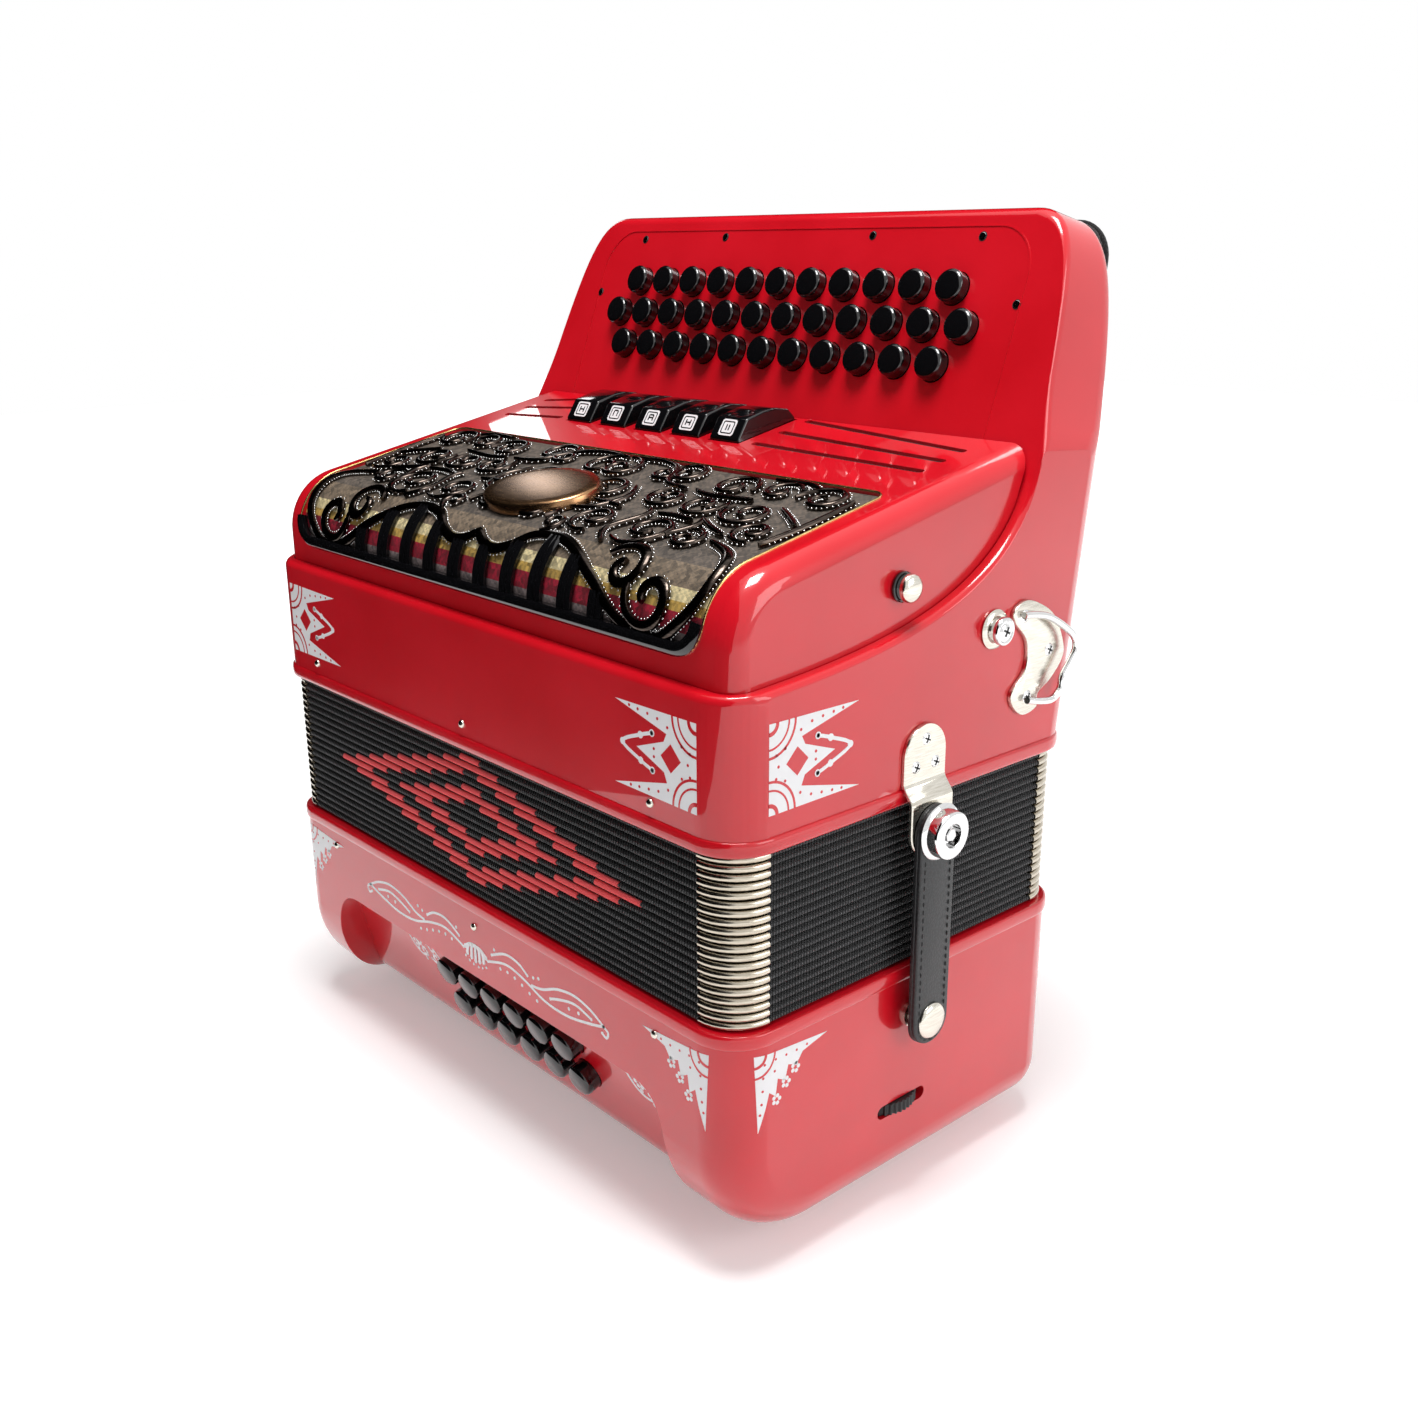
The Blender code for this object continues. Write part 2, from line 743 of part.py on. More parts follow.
def add_window(bm):
    # Cutter through the cover's skin, cut into strips that follow the bend
    half = grille_half_length - grille_frame
    low = grille_frame
    high = window_length - grille_frame
    r = grille_corner_radius
    rows = [low + (high - r - low) * i / 9 for i in range(10)]
    rows += [high - r + r * math.sin(math.pi / 2 * i / 3) for i in range(1, 4)]
    rings = []
    for s in rows:
        over = max(s - (high - r), 0.0)
        reach = half - (r - math.sqrt(max(r ** 2 - over ** 2, 0.0)))
        depth = cover_thickness + 0.002
        rings.append([cover_surface(-reach, s, -depth), cover_surface(-reach, s, 0.002),
                      cover_surface(reach, s, 0.002), cover_surface(reach, s, -depth)])
    add_loft(bm, rings)


def panel_point(x, y, rise):
    # Point over the sloping register panel
    slope_angle = math.atan(cover_slope)
    base = Vector((x, y, bellows_top + cover_height + cover_slope * y))
    return base + Vector((0, -math.sin(slope_angle), math.cos(slope_angle))) * rise


def make_grille_cover():
    positions = mirrored([0.0] + end_positions(cover_edge_radius, cover_half_length, 4))
    bm = bmesh.new()
    rings = []
    for x in positions:
        inset = setback(x, cover_edge_radius, cover_half_length)
        profile = cover_profile(inset, cover_seat_height, board_skin + seat_gap / math.cos(board_lean))
        rings.append([(x, y, bellows_top + z) for y, z in profile])
    add_loft(bm, rings)
    cover = add_object("grille_cover", finish_mesh(bm, "grille_cover"), cover_paint)

    # Hollow inside, open at the bottom
    bm = bmesh.new()
    inner_half = cover_half_length - cover_thickness
    rings = []
    for x in mirrored([0.0] + end_positions(cover_edge_radius - cover_thickness, inner_half, 3)):
        inset = cover_thickness + setback(x, cover_edge_radius - cover_thickness, inner_half)
        profile = cover_profile(inset, cover_seat_height - 0.001,
                                board_skin + cover_thickness / math.cos(board_lean))
        rings.append([(x, y, bellows_top + z) for y, z in profile])
    add_loft(bm, rings)
    apply_boolean(cover, bm, "DIFFERENCE")

    bm = bmesh.new()
    add_window(bm)
    apply_boolean(cover, bm, "DIFFERENCE")

    # Openings of the switches and the sound slots
    bm = bmesh.new()
    for i in range(switch_count):
        x = switch_centre_x + (i - (switch_count - 1) / 2) * switch_pitch
        half = switch_width / 2 + switch_gap
        low = switch_front_y - switch_gap
        high = switch_back_y + switch_gap
        ring_low = [panel_point(x + u, v, -cover_thickness - 0.002)
                    for u, v in ((-half, low), (half, low), (half, high), (-half, high))]
        ring_high = [panel_point(x + u, v, 0.002)
                     for u, v in ((-half, low), (half, low), (half, high), (-half, high))]
        add_loft(bm, [ring_low, ring_high])
    block_half = (switch_count - 1) / 2 * switch_pitch + switch_width / 2
    ends = {1: (switch_centre_x + block_half + 0.008, cover_half_length - 0.0205),
            -1: (switch_centre_x - block_half - 0.008, -(cover_half_length - 0.0205))}
    for side, (inner, outer) in ends.items():
        for k in range(slot_count):
            ends_y = (slot_inner_y + slot_inner_pitch * k, slot_outer_y + slot_outer_pitch * k)
            outline = []
            for turn, px, py in ((math.pi / 2, inner, ends_y[0]), (-math.pi / 2, outer, ends_y[1])):
                for j in range(5):
                    angle = turn + side * math.pi * j / 4
                    outline.append((px + slot_width / 2 * math.cos(angle),
                                    py + slot_width / 2 * math.sin(angle)))
            ring_low = [panel_point(u, v, -cover_thickness - 0.002) for u, v in outline]
            ring_high = [panel_point(u, v, 0.002) for u, v in outline]
            add_loft(bm, [ring_low, ring_high])
    apply_boolean(cover, bm, "DIFFERENCE")

    # Filigree: bars, scrolls and a bare oval badge, all joined to the window's frame
    bm = bmesh.new()
    for i, (path, width) in enumerate(fret_paths()):
        level = fret_step * (i * 5 % 8)
        if i == 0:
            first = bmesh.new()
            add_ribbon(first, path, width, fret_rise, fret_sink)
            fret = add_object("grille_cover_fret", finish_mesh(first, "grille_cover_fret"), cover_paint)
        else:
            add_ribbon(bm, path, width, fret_rise + level, fret_sink + level * 0.7)
    add_loft(bm, [[(u, v, rise) for u, v in badge_outline()] for rise in (-0.0015, badge_rise)])
    apply_boolean(fret, bm, "UNION", use_self=True)
    tidy(fret)
    bm = bmesh.new()
    bm.from_mesh(fret.data)
    bpy.data.objects.remove(fret, do_unlink=True)
    bmesh.ops.triangulate(bm, faces=bm.faces)
    for vertex in bm.verts:
        vertex.co = cover_surface(*vertex.co)
    apply_boolean(cover, bm, "UNION")

    for side in (-1, 1):
        start = cover_half_length - 0.001
        join(cover, add_cylinder, (side * start, thumbscrew_y, bellows_top + thumbscrew_z), (side, 0, 0),
             thumbscrew_radius, thumbscrew_length, top_bevel=0.0015)
    tidy(cover)


def make_switches():
    # Rocking levers: label face at the front, flat top, rounded tail
    middle = (switch_front_y + switch_back_y) / 2
    shape = ((switch_front_y, -switch_depth), (switch_front_y, 0.0012),
             (switch_front_y + 0.0065, switch_height - 0.0005), (middle, switch_height),
             (switch_back_y - 0.0105, switch_height - 0.0005), (switch_back_y - 0.003, 0.0055),
             (switch_back_y, 0.0012), (switch_back_y - switch_tail_setback, -switch_depth))
    for i in range(switch_count):
        x = switch_centre_x + (i - (switch_count - 1) / 2) * switch_pitch
        half = switch_width / 2
        bevel = 0.0008
        rings = []
        for u, shrink in ((-half, bevel), (-half + bevel, 0.0), (half - bevel, 0.0), (half, bevel)):
            ring = []
            for y, rise in shape:
                inward = middle + (y - middle) * (1 - shrink / (switch_back_y - middle))
                ring.append(panel_point(x + u, inward, rise - (shrink if rise > 0.002 else 0.0)))
            rings.append(ring)
        bm = bmesh.new()
        add_loft(bm, rings)
        name = f"register_switch_{i + 1}"
        add_object(name, finish_mesh(bm, name), black_gloss, panel_point(x, middle, -0.002))


def make_treble_buttons():
    bm = bmesh.new()
    add_cylinder(bm, (0, 0, -button_stem), (0, 0, 1), button_radius, button_stem + button_height,
                 top_bevel=0.0012)
    mesh = finish_mesh(bm, "treble_button")
    mesh.materials.append(black_gloss)
    turn = Vector((0, 0, 1)).rotation_difference(board_normal)
    for name, place in treble_button_places():
        button = bpy.data.objects.new(name, mesh)
        button.location = place
        button.rotation_mode = "QUATERNION"
        button.rotation_quaternion = turn
        bpy.context.collection.objects.link(button)


recess_normal = Vector((0, -math.cos(recess_lean), -math.sin(recess_lean)))
recess_down = Vector((0, math.sin(recess_lean), -math.cos(recess_lean)))


def recess_y(z):
    # Face of the bass panel, with a bend into the bottom; z is a world height
    top_y = -half_depth + recess_depth
    k = math.tan(recess_lean)
    radius = recess_bend_radius
    turn = math.pi / 2 - recess_lean
    centre_z = bass_bottom + radius
    bend_top = centre_z - radius * math.sin(recess_lean)
    centre_y = top_y + (recess_top - bend_top) * k + radius * math.cos(recess_lean)
    if z >= bend_top:
        return top_y + (recess_top - z) * k
    angle = math.asin(min((centre_z - z) / radius, math.sin(recess_lean + turn)))
    return centre_y - radius * math.cos(angle)


def bass_button_places():
    places = []
    for row in range(2):
        z = bass_row_height
        start = Vector((0, recess_y(z), z)) + recess_down * bass_row_pitch * row
        for i in range(bass_row_count):
            x = bass_button_shift + (i - (bass_row_count - 1) / 2) * bass_button_pitch
            x += bass_row_offset if row else -bass_row_offset
            places.append((f"bass_button_{row + 1}_{i + 1}", start + Vector((x, 0, 0))))
    return places


# Arch between the two legs: level, round corner, leg, then the leg's round foot
arch_corner = ((recess_half_length - 0.018, recess_top), (recess_half_length - 0.003, recess_top),
               (recess_half_length, recess_top - 0.015))
arch_foot = ((recess_half_length + 0.0015, recess_top - 0.0225),
             (recess_half_length + 0.003, bass_bottom + 0.004),
             (recess_half_length + 0.0200, bass_bottom - 0.0005))
arch_edge = [bezier(arch_corner, i / 4) for i in range(5)] + [bezier(arch_foot, i / 5) for i in range(6)]


def recess_top_at(x):
    if abs(x) <= arch_edge[0][0]:
        return recess_top
    for a, b in zip(arch_edge, arch_edge[1:]):
        if abs(x) <= b[0]:
            return a[1] + (b[1] - a[1]) * (abs(x) - a[0]) / (b[0] - a[0])
    return arch_edge[-1][1]


def make_bass_case():
    # Box with round vertical corners and round bottom edges
    positions = mirrored([0.0] + end_positions(bass_edge_radius, half_length, 4))
    bm = bmesh.new()
    rings = []
    for x in positions:
        inset = min(setback(x, bass_edge_radius, half_length), bass_edge_radius - 0.001)
        ring = [(x, -half_depth + inset, bellows_bottom)]
        for radius, turn, steps in ((bass_front_edge_radius, math.pi, 6), (bass_edge_radius, 3 * math.pi / 2, 4)):
            centre_y = half_depth - radius if turn > math.pi else radius - half_depth
            for i in range(steps + 1):
                angle = turn + math.pi / 2 * i / steps
                ring.append((x, centre_y + (radius - inset) * math.cos(angle),
                             bass_bottom + radius + (radius - inset) * math.sin(angle)))
        ring.append((x, half_depth - inset, bellows_bottom))
        rings.append(ring)
    add_loft(bm, rings)
    case = add_object("bass_case", finish_mesh(bm, "bass_case"), red_lacquer)

    # Reed chamber, open to the bellows
    bm = bmesh.new()
    outline = [(-half_length + bass_end_wall, -half_depth + bass_front_wall),
               (half_length - bass_end_wall, -half_depth + bass_front_wall),
               (half_length - bass_end_wall, half_depth - bass_back_wall),
               (-half_length + bass_end_wall, half_depth - bass_back_wall)]
    add_prism(bm, outline, "Z", bass_bottom + bass_floor_height, bellows_bottom + 0.001)
    apply_boolean(case, bm, "DIFFERENCE")

    # Front cut away to the leaning button panel, between two legs
    bm = bmesh.new()
    rings = []
    low = bass_bottom - 0.0006
    for x in mirrored([0.0] + [p[0] for p in arch_edge]):
        top = max(recess_top_at(x), low + 0.0004)
        levels = [top + (low - top) * i / 8 for i in range(9)]
        ring = [(x, -half_depth - 0.01, top)]
        ring += [(x, recess_y(max(z, bass_bottom)), z) for z in levels]
        ring.append((x, -half_depth - 0.01, low))
        rings.append(ring)
    add_loft(bm, rings)
    apply_boolean(case, bm, "DIFFERENCE")

    # Bores of the bass buttons and of the air button
    bm = bmesh.new()
    depth = bass_button_stem + bass_button_travel + 0.0006
    for _, place in bass_button_places():
        add_cylinder(bm, place - recess_normal * depth, recess_normal, bass_button_radius + button_clearance,
                     depth + 0.003)
    air_depth = air_button_stem + air_button_travel + 0.0006
    add_cylinder(bm, (air_button_x, half_depth - air_depth, air_button_z), (0, 1, 0),
                 air_button_radius + button_clearance, air_depth + 0.003)
    apply_boolean(case, bm, "DIFFERENCE")

    # Pocket of the strap's thumbwheel, its narrower mouth in the wall and its axle's bearings
    wheel_x = half_length + wheel_proud - wheel_radius
    pocket = wheel_radius + 0.0006
    half_gap = wheel_thickness / 2 + 0.0004
    bm = bmesh.new()
    outline = ((wheel_x - pocket, wheel_y - pocket), (half_length - 0.0045, wheel_y - pocket),
               (half_length - 0.0045, wheel_y + pocket), (wheel_x - pocket, wheel_y + pocket))
    add_prism(bm, outline, "Z", wheel_z - half_gap, wheel_z + half_gap)
    apply_boolean(case, bm, "DIFFERENCE")
    bm = bmesh.new()
    mouth = wheel_radius - 0.0024
    outline = ((half_length - 0.0060, wheel_y - mouth), (half_length + 0.002, wheel_y - mouth),
               (half_length + 0.002, wheel_y + mouth), (half_length - 0.0060, wheel_y + mouth))
    add_prism(bm, outline, "Z", wheel_z - half_gap + 0.00005, wheel_z + half_gap - 0.00005)
    apply_boolean(case, bm, "DIFFERENCE")
    bm = bmesh.new()
    add_cylinder(bm, (wheel_x, wheel_y, wheel_z - half_gap - 0.0022), (0, 0, 1),
                 wheel_axle_radius + seat_gap, 2 * half_gap + 0.0044)
    apply_boolean(case, bm, "DIFFERENCE")

    # Rubber feet and the studs that the bellows straps snap onto
    bm = bmesh.new()
    for x in (-foot_x, foot_x):
        for y in (foot_front_y, foot_back_y):
            add_cylinder(bm, (x, y, bass_bottom + 0.0008), (0, 0, -1), foot_radius, foot_height + 0.0008,
                         top_bevel=0.0010)
    for side in (-1, 1):
        start = half_length - 0.001
        add_cylinder(bm, (side * start, 0, snap_z), (side, 0, 0), stud_radius,
                     strap_inner_x - seat_gap - start, top_bevel=0.0008)
    apply_boolean(case, bm, "UNION")
    tidy(case)


def make_bass_buttons():
    bm = bmesh.new()
    add_cylinder(bm, (0, 0, -bass_button_stem), (0, 0, 1), bass_button_radius,
                 bass_button_stem + bass_button_height, top_bevel=0.0010)
    mesh = finish_mesh(bm, "bass_button")
    mesh.materials.append(black_gloss)
    turn = Vector((0, 0, 1)).rotation_difference(recess_normal)
    for name, place in bass_button_places():
        button = bpy.data.objects.new(name, mesh)
        button.location = place
        button.rotation_mode = "QUATERNION"
        button.rotation_quaternion = turn
        bpy.context.collection.objects.link(button)


def make_air_button():
    bm = bmesh.new()
    start = Vector((air_button_x, half_depth, air_button_z))
    add_cylinder(bm, start - Vector((0, air_button_stem, 0)), (0, 1, 0), air_button_radius,
                 air_button_stem + air_button_height, top_bevel=0.0015)
    add_object("air_button", finish_mesh(bm, "air_button"), black_gloss, start)


def make_strap_wheel():
    # Ridged thumbwheel with an axle stub on both faces
    wheel_x = half_length + wheel_proud - wheel_radius
    centre = Vector((wheel_x, wheel_y, wheel_z))
    outline = []
    for i in range(2 * wheel_ridges):
        angle = math.pi * i / wheel_ridges
        radius = wheel_radius - (0.0006 if i % 2 else 0.0)
        outline.append((centre.x + radius * math.cos(angle), centre.y + radius * math.sin(angle)))
    bm = bmesh.new()
    add_prism(bm, outline, "Z", wheel_z - wheel_thickness / 2, wheel_z + wheel_thickness / 2)
    wheel = add_object("strap_wheel", finish_mesh(bm, "strap_wheel"), wheel_plastic, centre)
    bm = bmesh.new()
    reach = wheel_thickness / 2 + 0.0020
    add_cylinder(bm, centre - Vector((0, 0, reach)), (0, 0, 1), wheel_axle_radius, 2 * reach)
    apply_boolean(wheel, bm, "UNION")
    tidy(wheel)


def make_bass_strap():
    # Leather hand strap under the bass end: both ends lie under the case, the middle hangs lower
    rest = strap_band_thickness + 0.0008
    held = bass_bottom - seat_gap
    positions = [0.0]
    start = strap_band_half_length - strap_band_ramp
    positions += [start + strap_band_ramp * i / 6 for i in range(7)]
    rings = []
    for x in mirrored(positions):
        t = max(0.0, (abs(x) - start) / strap_band_ramp)
        blend = t * t * (3 - 2 * t)
        top = rest + (held - rest) * blend
        half = strap_band_width / 2
        rings.append([(x, -half, top - strap_band_thickness), (x, half, top - strap_band_thickness),
                      (x, half, top), (x, -half, top)])
    bm = bmesh.new()
    add_loft(bm, rings)
    add_object("bass_strap", finish_mesh(bm, "bass_strap"), black_leather)


def make_bellows_straps():
    # Leather strap hung on the pivot cup, with its snap cap; the mesh of one end mirrors the other
    for name, side in (("bellows_strap_right", 1), ("bellows_strap_left", -1)):
        half = strap_width / 2
        upper = [(half * math.cos(a), pivot.z + half * math.sin(a)) for a in
                 [math.pi * i / 8 for i in range(9)]]
        tail_z = snap_z - strap_tail + half
        lower = [(half * math.cos(a), tail_z + half * math.sin(a)) for a in
                 [math.pi + math.pi * i / 8 for i in range(9)]]
        bm = bmesh.new()
        add_prism(bm, upper + lower, "X", side * strap_inner_x, side * strap_outer_x)
        strap = add_object(name, finish_mesh(bm, name), black_leather,
                           (side * (strap_inner_x + strap_outer_x) / 2, 0, pivot.z))
        bm = bmesh.new()
        add_cylinder(bm, (side * (strap_inner_x - 0.002), 0, pivot.z), (side, 0, 0),
                     pivot_pin_radius + seat_gap, strap_thickness + 0.004)
        apply_boolean(strap, bm, "DIFFERENCE")
        bm = bmesh.new()
        add_cylinder(bm, (side * (strap_outer_x - 0.001), 0, snap_z), (side, 0, 0), snap_radius,
                     snap_thickness + 0.001, top_bevel=0.0010)
        apply_boolean(strap, bm, "UNION")
        tidy(strap)


def make_bellows():
    # Twenty folds between the two rims; the corners carry bright protectors with rounder beads
    low = bellows_bottom + seat_gap
    high = bellows_top - seat_gap
    half_x = half_length - bellows_inset
    half_y = half_depth - bellows_inset
    steps = 3

    def ring(side_in, corner_in, z):
        points = []
        side_half = (half_x - side_in, half_y - side_in)
        for quarter, (sx, sy) in enumerate(((1, 1), (-1, 1), (-1, -1), (1, -1))):
            corner_run = corner_radius + 0.0004
            along_y = (sx * side_half[0], sy * (half_y - corner_run))
            along_x = (sx * (half_x - corner_run), sy * side_half[1])
            radius = corner_radius - corner_in
            arc = []
            for i in range(steps + 1):
                angle = math.pi / 2 * (quarter + i / steps)
                arc.append((sx * (half_x - corner_radius) + radius * math.cos(angle),
                            sy * (half_y - corner_radius) + radius * math.sin(angle)))
            first, last = (along_y, along_x) if quarter % 2 == 0 else (along_x, along_y)
            points += [first] + arc + [last]
        return [(x, y, z) for x, y in points]

    rings = []
    for i in range(2 * fold_count + 1):
        z = low + (high - low) * i / (2 * fold_count)
        if i % 2:
            rings.append(ring(0.0, -protector_proud, z))
        else:
            rings.append(ring(fold_depth, protector_fold_depth, z))
    bm = bmesh.new()
    add_loft(bm, rings)
    bellows = add_object("bellows", finish_mesh(bm, "bellows"), black_cloth)
    bm = bmesh.new()
    bore = rounded_rectangle(half_x - bellows_wall, half_y - bellows_wall, corner_radius / 2, 2)
    add_prism(bm, bore, "Z", low - 0.001, high + 0.001)
    apply_boolean(bellows, bm, "DIFFERENCE")
    tidy(bellows)


make_bass_case()
make_bass_buttons()
make_air_button()
make_strap_wheel()
make_bass_strap()
make_bellows()
make_treble_case()
make_grille_cover()
make_switches()
make_treble_buttons()
make_bellows_straps()

# The origin goes to the middle of the whole outline, on the floor
bpy.context.view_layer.update()
reach = [(thing.matrix_world @ Vector(corner)).y for thing in bpy.context.collection.objects
         for corner in thing.bound_box]
outline_centre = (min(reach) + max(reach)) / 2
for thing in bpy.context.collection.objects:
    thing.location.y -= outline_centre
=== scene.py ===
import math

import bmesh
import bpy
from mathutils import Matrix, Vector


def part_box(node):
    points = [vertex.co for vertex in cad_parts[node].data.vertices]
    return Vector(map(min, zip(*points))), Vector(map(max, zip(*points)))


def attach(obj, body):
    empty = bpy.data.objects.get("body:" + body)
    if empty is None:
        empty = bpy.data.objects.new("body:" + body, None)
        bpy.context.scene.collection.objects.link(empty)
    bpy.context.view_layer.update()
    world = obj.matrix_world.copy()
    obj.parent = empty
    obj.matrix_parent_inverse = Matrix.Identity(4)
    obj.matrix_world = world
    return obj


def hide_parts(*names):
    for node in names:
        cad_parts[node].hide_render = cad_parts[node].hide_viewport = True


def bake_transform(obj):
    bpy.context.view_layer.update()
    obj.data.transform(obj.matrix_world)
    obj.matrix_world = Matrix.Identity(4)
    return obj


# Diatonic button accordion dressed round its CAD frame. X runs along the casing,
# the grille faces -Y, the player sits at +Y, the bellows opens along +Z. Metres.
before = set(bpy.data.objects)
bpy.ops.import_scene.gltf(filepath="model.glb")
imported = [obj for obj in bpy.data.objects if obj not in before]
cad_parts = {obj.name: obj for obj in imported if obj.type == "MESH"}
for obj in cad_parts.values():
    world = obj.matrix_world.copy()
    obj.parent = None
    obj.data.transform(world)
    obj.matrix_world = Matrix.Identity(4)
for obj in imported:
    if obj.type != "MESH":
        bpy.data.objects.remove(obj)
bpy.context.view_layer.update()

# Sizes shared by several pieces. Heights of treble pieces are measured from bellowsTop
casing = {
    "halfLength": 0.155,
    "halfDepth": 0.0912,
    "cornerRadius": 0.018,
    "bassBottom": 0.007,
    "bellowsBottom": 0.0985,
    "bellowsTop": 0.163,
    "gap": 0.0003,
}
halfLength, halfDepth = casing["halfLength"], casing["halfDepth"]
bellowsTop, bellowsBottom = casing["bellowsTop"], casing["bellowsBottom"]
gap = casing["gap"]
# The shapes are worked out about the casing's middle, then moved to where the CAD holds it
toFrame = Vector((0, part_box("bass_case")[0].y + halfDepth, 0))


def bezier(points, t):
    points = [Vector(p) for p in points]
    while len(points) > 1:
        points = [a.lerp(b, t) for a, b in zip(points, points[1:])]
    return points[0]


def spread(count):
    return [i / count for i in range(count + 1)]


def ringLoop(bm, points):
    verts = [bm.verts.new(p) for p in points]
    return [bm.edges.new(pair) for pair in zip(verts, verts[1:] + verts[:1])]


def loft(bm, rings, closed=False):
    # Bridges a row of rings, and closes its two ends unless the row is a loop
    loops = [ringLoop(bm, ring) for ring in rings]
    for low, high in zip(loops, loops[1:] + (loops[:1] if closed else [])):
        bmesh.ops.bridge_loops(bm, edges=low + high)
    if not closed:
        for loop in (loops[0], loops[-1]):
            bmesh.ops.contextual_create(bm, geom=loop)


def turned(bm, profile, centre, direction, steps=32):
    # Spins a profile of (radius, height) pairs about an axis through centre
    centre, axis = Vector(centre), Vector(direction).normalized()
    side = axis.orthogonal().normalized()
    verts = [bm.verts.new(centre + side * r + axis * h) for r, h in profile]
    edges = [bm.edges.new(pair) for pair in zip(verts, verts[1:])]
    bmesh.ops.spin(bm, geom=verts + edges, cent=centre, axis=axis, dvec=(0, 0, 0),
                   angle=2 * math.pi, steps=steps, use_merge=True, use_duplicate=False)


def plate(bm, outline, offset, rounding=0.0, segments=3):
    # Face through the outline's points, extruded by offset, with the far rim rounded
    face = bm.faces.new([bm.verts.new(p) for p in outline])
    made = bmesh.ops.extrude_face_region(bm, geom=[face])["geom"]
    top = [v for v in made if isinstance(v, bmesh.types.BMVert)]
    bmesh.ops.translate(bm, verts=top, vec=offset)
    if rounding:
        chosen = set(top)
        rim = [e for v in top for e in v.link_edges if e.other_vert(v) in chosen]
        bmesh.ops.bevel(bm, geom=list(set(rim)), offset=rounding, offset_type="OFFSET",
                        segments=segments, profile=0.5, affect="EDGES", material=-1,
                        clamp_overlap=True)


def tube(bm, path, radius, segments=10, closed=False, squash=1.0, up=(0, 0, 1)):
    # Round or flattened bar along a path; up is the direction of its second half-axis
    path = [Vector(p) for p in path]
    rings = []
    for i, point in enumerate(path):
        before = path[i - 1] if closed else path[max(i - 1, 0)]
        after = path[(i + 1) % len(path)] if closed else path[min(i + 1, len(path) - 1)]
        ahead = (after - before).normalized()
        side = ahead.cross(Vector(up)).normalized()
        rise = side.cross(ahead).normalized()
        rings.append([point + side * radius * math.cos(2 * math.pi * k / segments)
                      + rise * radius * squash * math.sin(2 * math.pi * k / segments)
                      for k in range(segments)])
    loft(bm, rings, closed)


def spaced(path, least):
    # The path without the points that lie closer together than least
    kept = [path[0]]
    for p in path[1:]:
        if (p - kept[-1]).length > least:
            kept.append(p)
    return kept


def levelAt(points, x):
    # Height of a line of (x, height) points at x, the same on both sides of the middle
    if abs(x) <= points[0][0]:
        return points[0][1]
    for (x0, z0), (x1, z1) in zip(points, points[1:]):
        if abs(x) <= x1:
            return z0 + (z1 - z0) * (abs(x) - x0) / (x1 - x0)
    return points[-1][1]


def atHeight(outline, z):
    return [(x, y, z) for x, y in outline]


def copyShape(bm, shape, move=(0, 0, 0), flip=(1, 1, 1)):
    # Copy of part of a bmesh, mirrored by flip and moved
    made = bmesh.ops.duplicate(bm, geom=shape)["geom"]
    verts = [v for v in made if isinstance(v, bmesh.types.BMVert)]
    bmesh.ops.scale(bm, verts=verts, vec=flip)
    bmesh.ops.translate(bm, verts=verts, vec=move)


def finishPiece(name, bm, material, body=None, angle=35.0, merge=0.000002):
    # Cleans the mesh, moves it to the frame and lets it ride
    if merge:
        bmesh.ops.remove_doubles(bm, verts=bm.verts, dist=merge)
    bmesh.ops.recalc_face_normals(bm, faces=bm.faces)
    bmesh.ops.translate(bm, verts=bm.verts, vec=toFrame)
    mesh = bpy.data.meshes.new(name)
    bm.to_mesh(mesh)
    bm.free()
    mesh.shade_smooth()
    mesh.set_sharp_from_angle(angle=math.radians(angle))
    mesh.materials.append(material)
    piece = bpy.data.objects.new(name, mesh)
    bpy.context.scene.collection.objects.link(piece)
    if body:
        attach(piece, body)
    return piece


def finalMesh(piece):
    # The piece's mesh with its modifiers applied
    bpy.context.view_layer.update()
    return bpy.data.meshes.new_from_object(piece.evaluated_get(bpy.context.evaluated_depsgraph_get()))


def cut(piece, bm):
    # Takes the shapes in bm out of the piece at once
    bmesh.ops.remove_doubles(bm, verts=bm.verts, dist=0.000002)
    bmesh.ops.recalc_face_normals(bm, faces=bm.faces)
    bmesh.ops.translate(bm, verts=bm.verts, vec=toFrame)
    mesh = bpy.data.meshes.new("cutter")
    bm.to_mesh(mesh)
    bm.free()
    tool = bpy.data.objects.new("cutter", mesh)
    bpy.context.scene.collection.objects.link(tool)
    modifier = piece.modifiers.new("cut", "BOOLEAN")
    modifier.operation, modifier.solver, modifier.object = "DIFFERENCE", "EXACT", tool
    result = finalMesh(piece)
    piece.modifiers.clear()
    piece.data = result
    bpy.data.objects.remove(tool, do_unlink=True)


def roundEdges(piece, chosen, width, segments=3):
    # Rounds the edges that chosen(middle, edge) picks; middle is in the casing's own frame
    bm = bmesh.new()
    bm.from_mesh(piece.data)
    bmesh.ops.dissolve_limit(bm, angle_limit=math.radians(0.3), verts=bm.verts, edges=bm.edges)
    edges = []
    for edge in bm.edges:
        if len(edge.link_faces) == 2 and edge.calc_face_angle(0) > math.radians(25):
            middle = (edge.verts[0].co + edge.verts[1].co) / 2 - toFrame
            if chosen(middle, edge):
                edges.append(edge)
    bmesh.ops.bevel(bm, geom=edges, offset=width, offset_type="OFFSET", segments=segments,
                    profile=0.5, affect="EDGES", material=-1, clamp_overlap=True)
    bm.to_mesh(piece.data)
    bm.free()


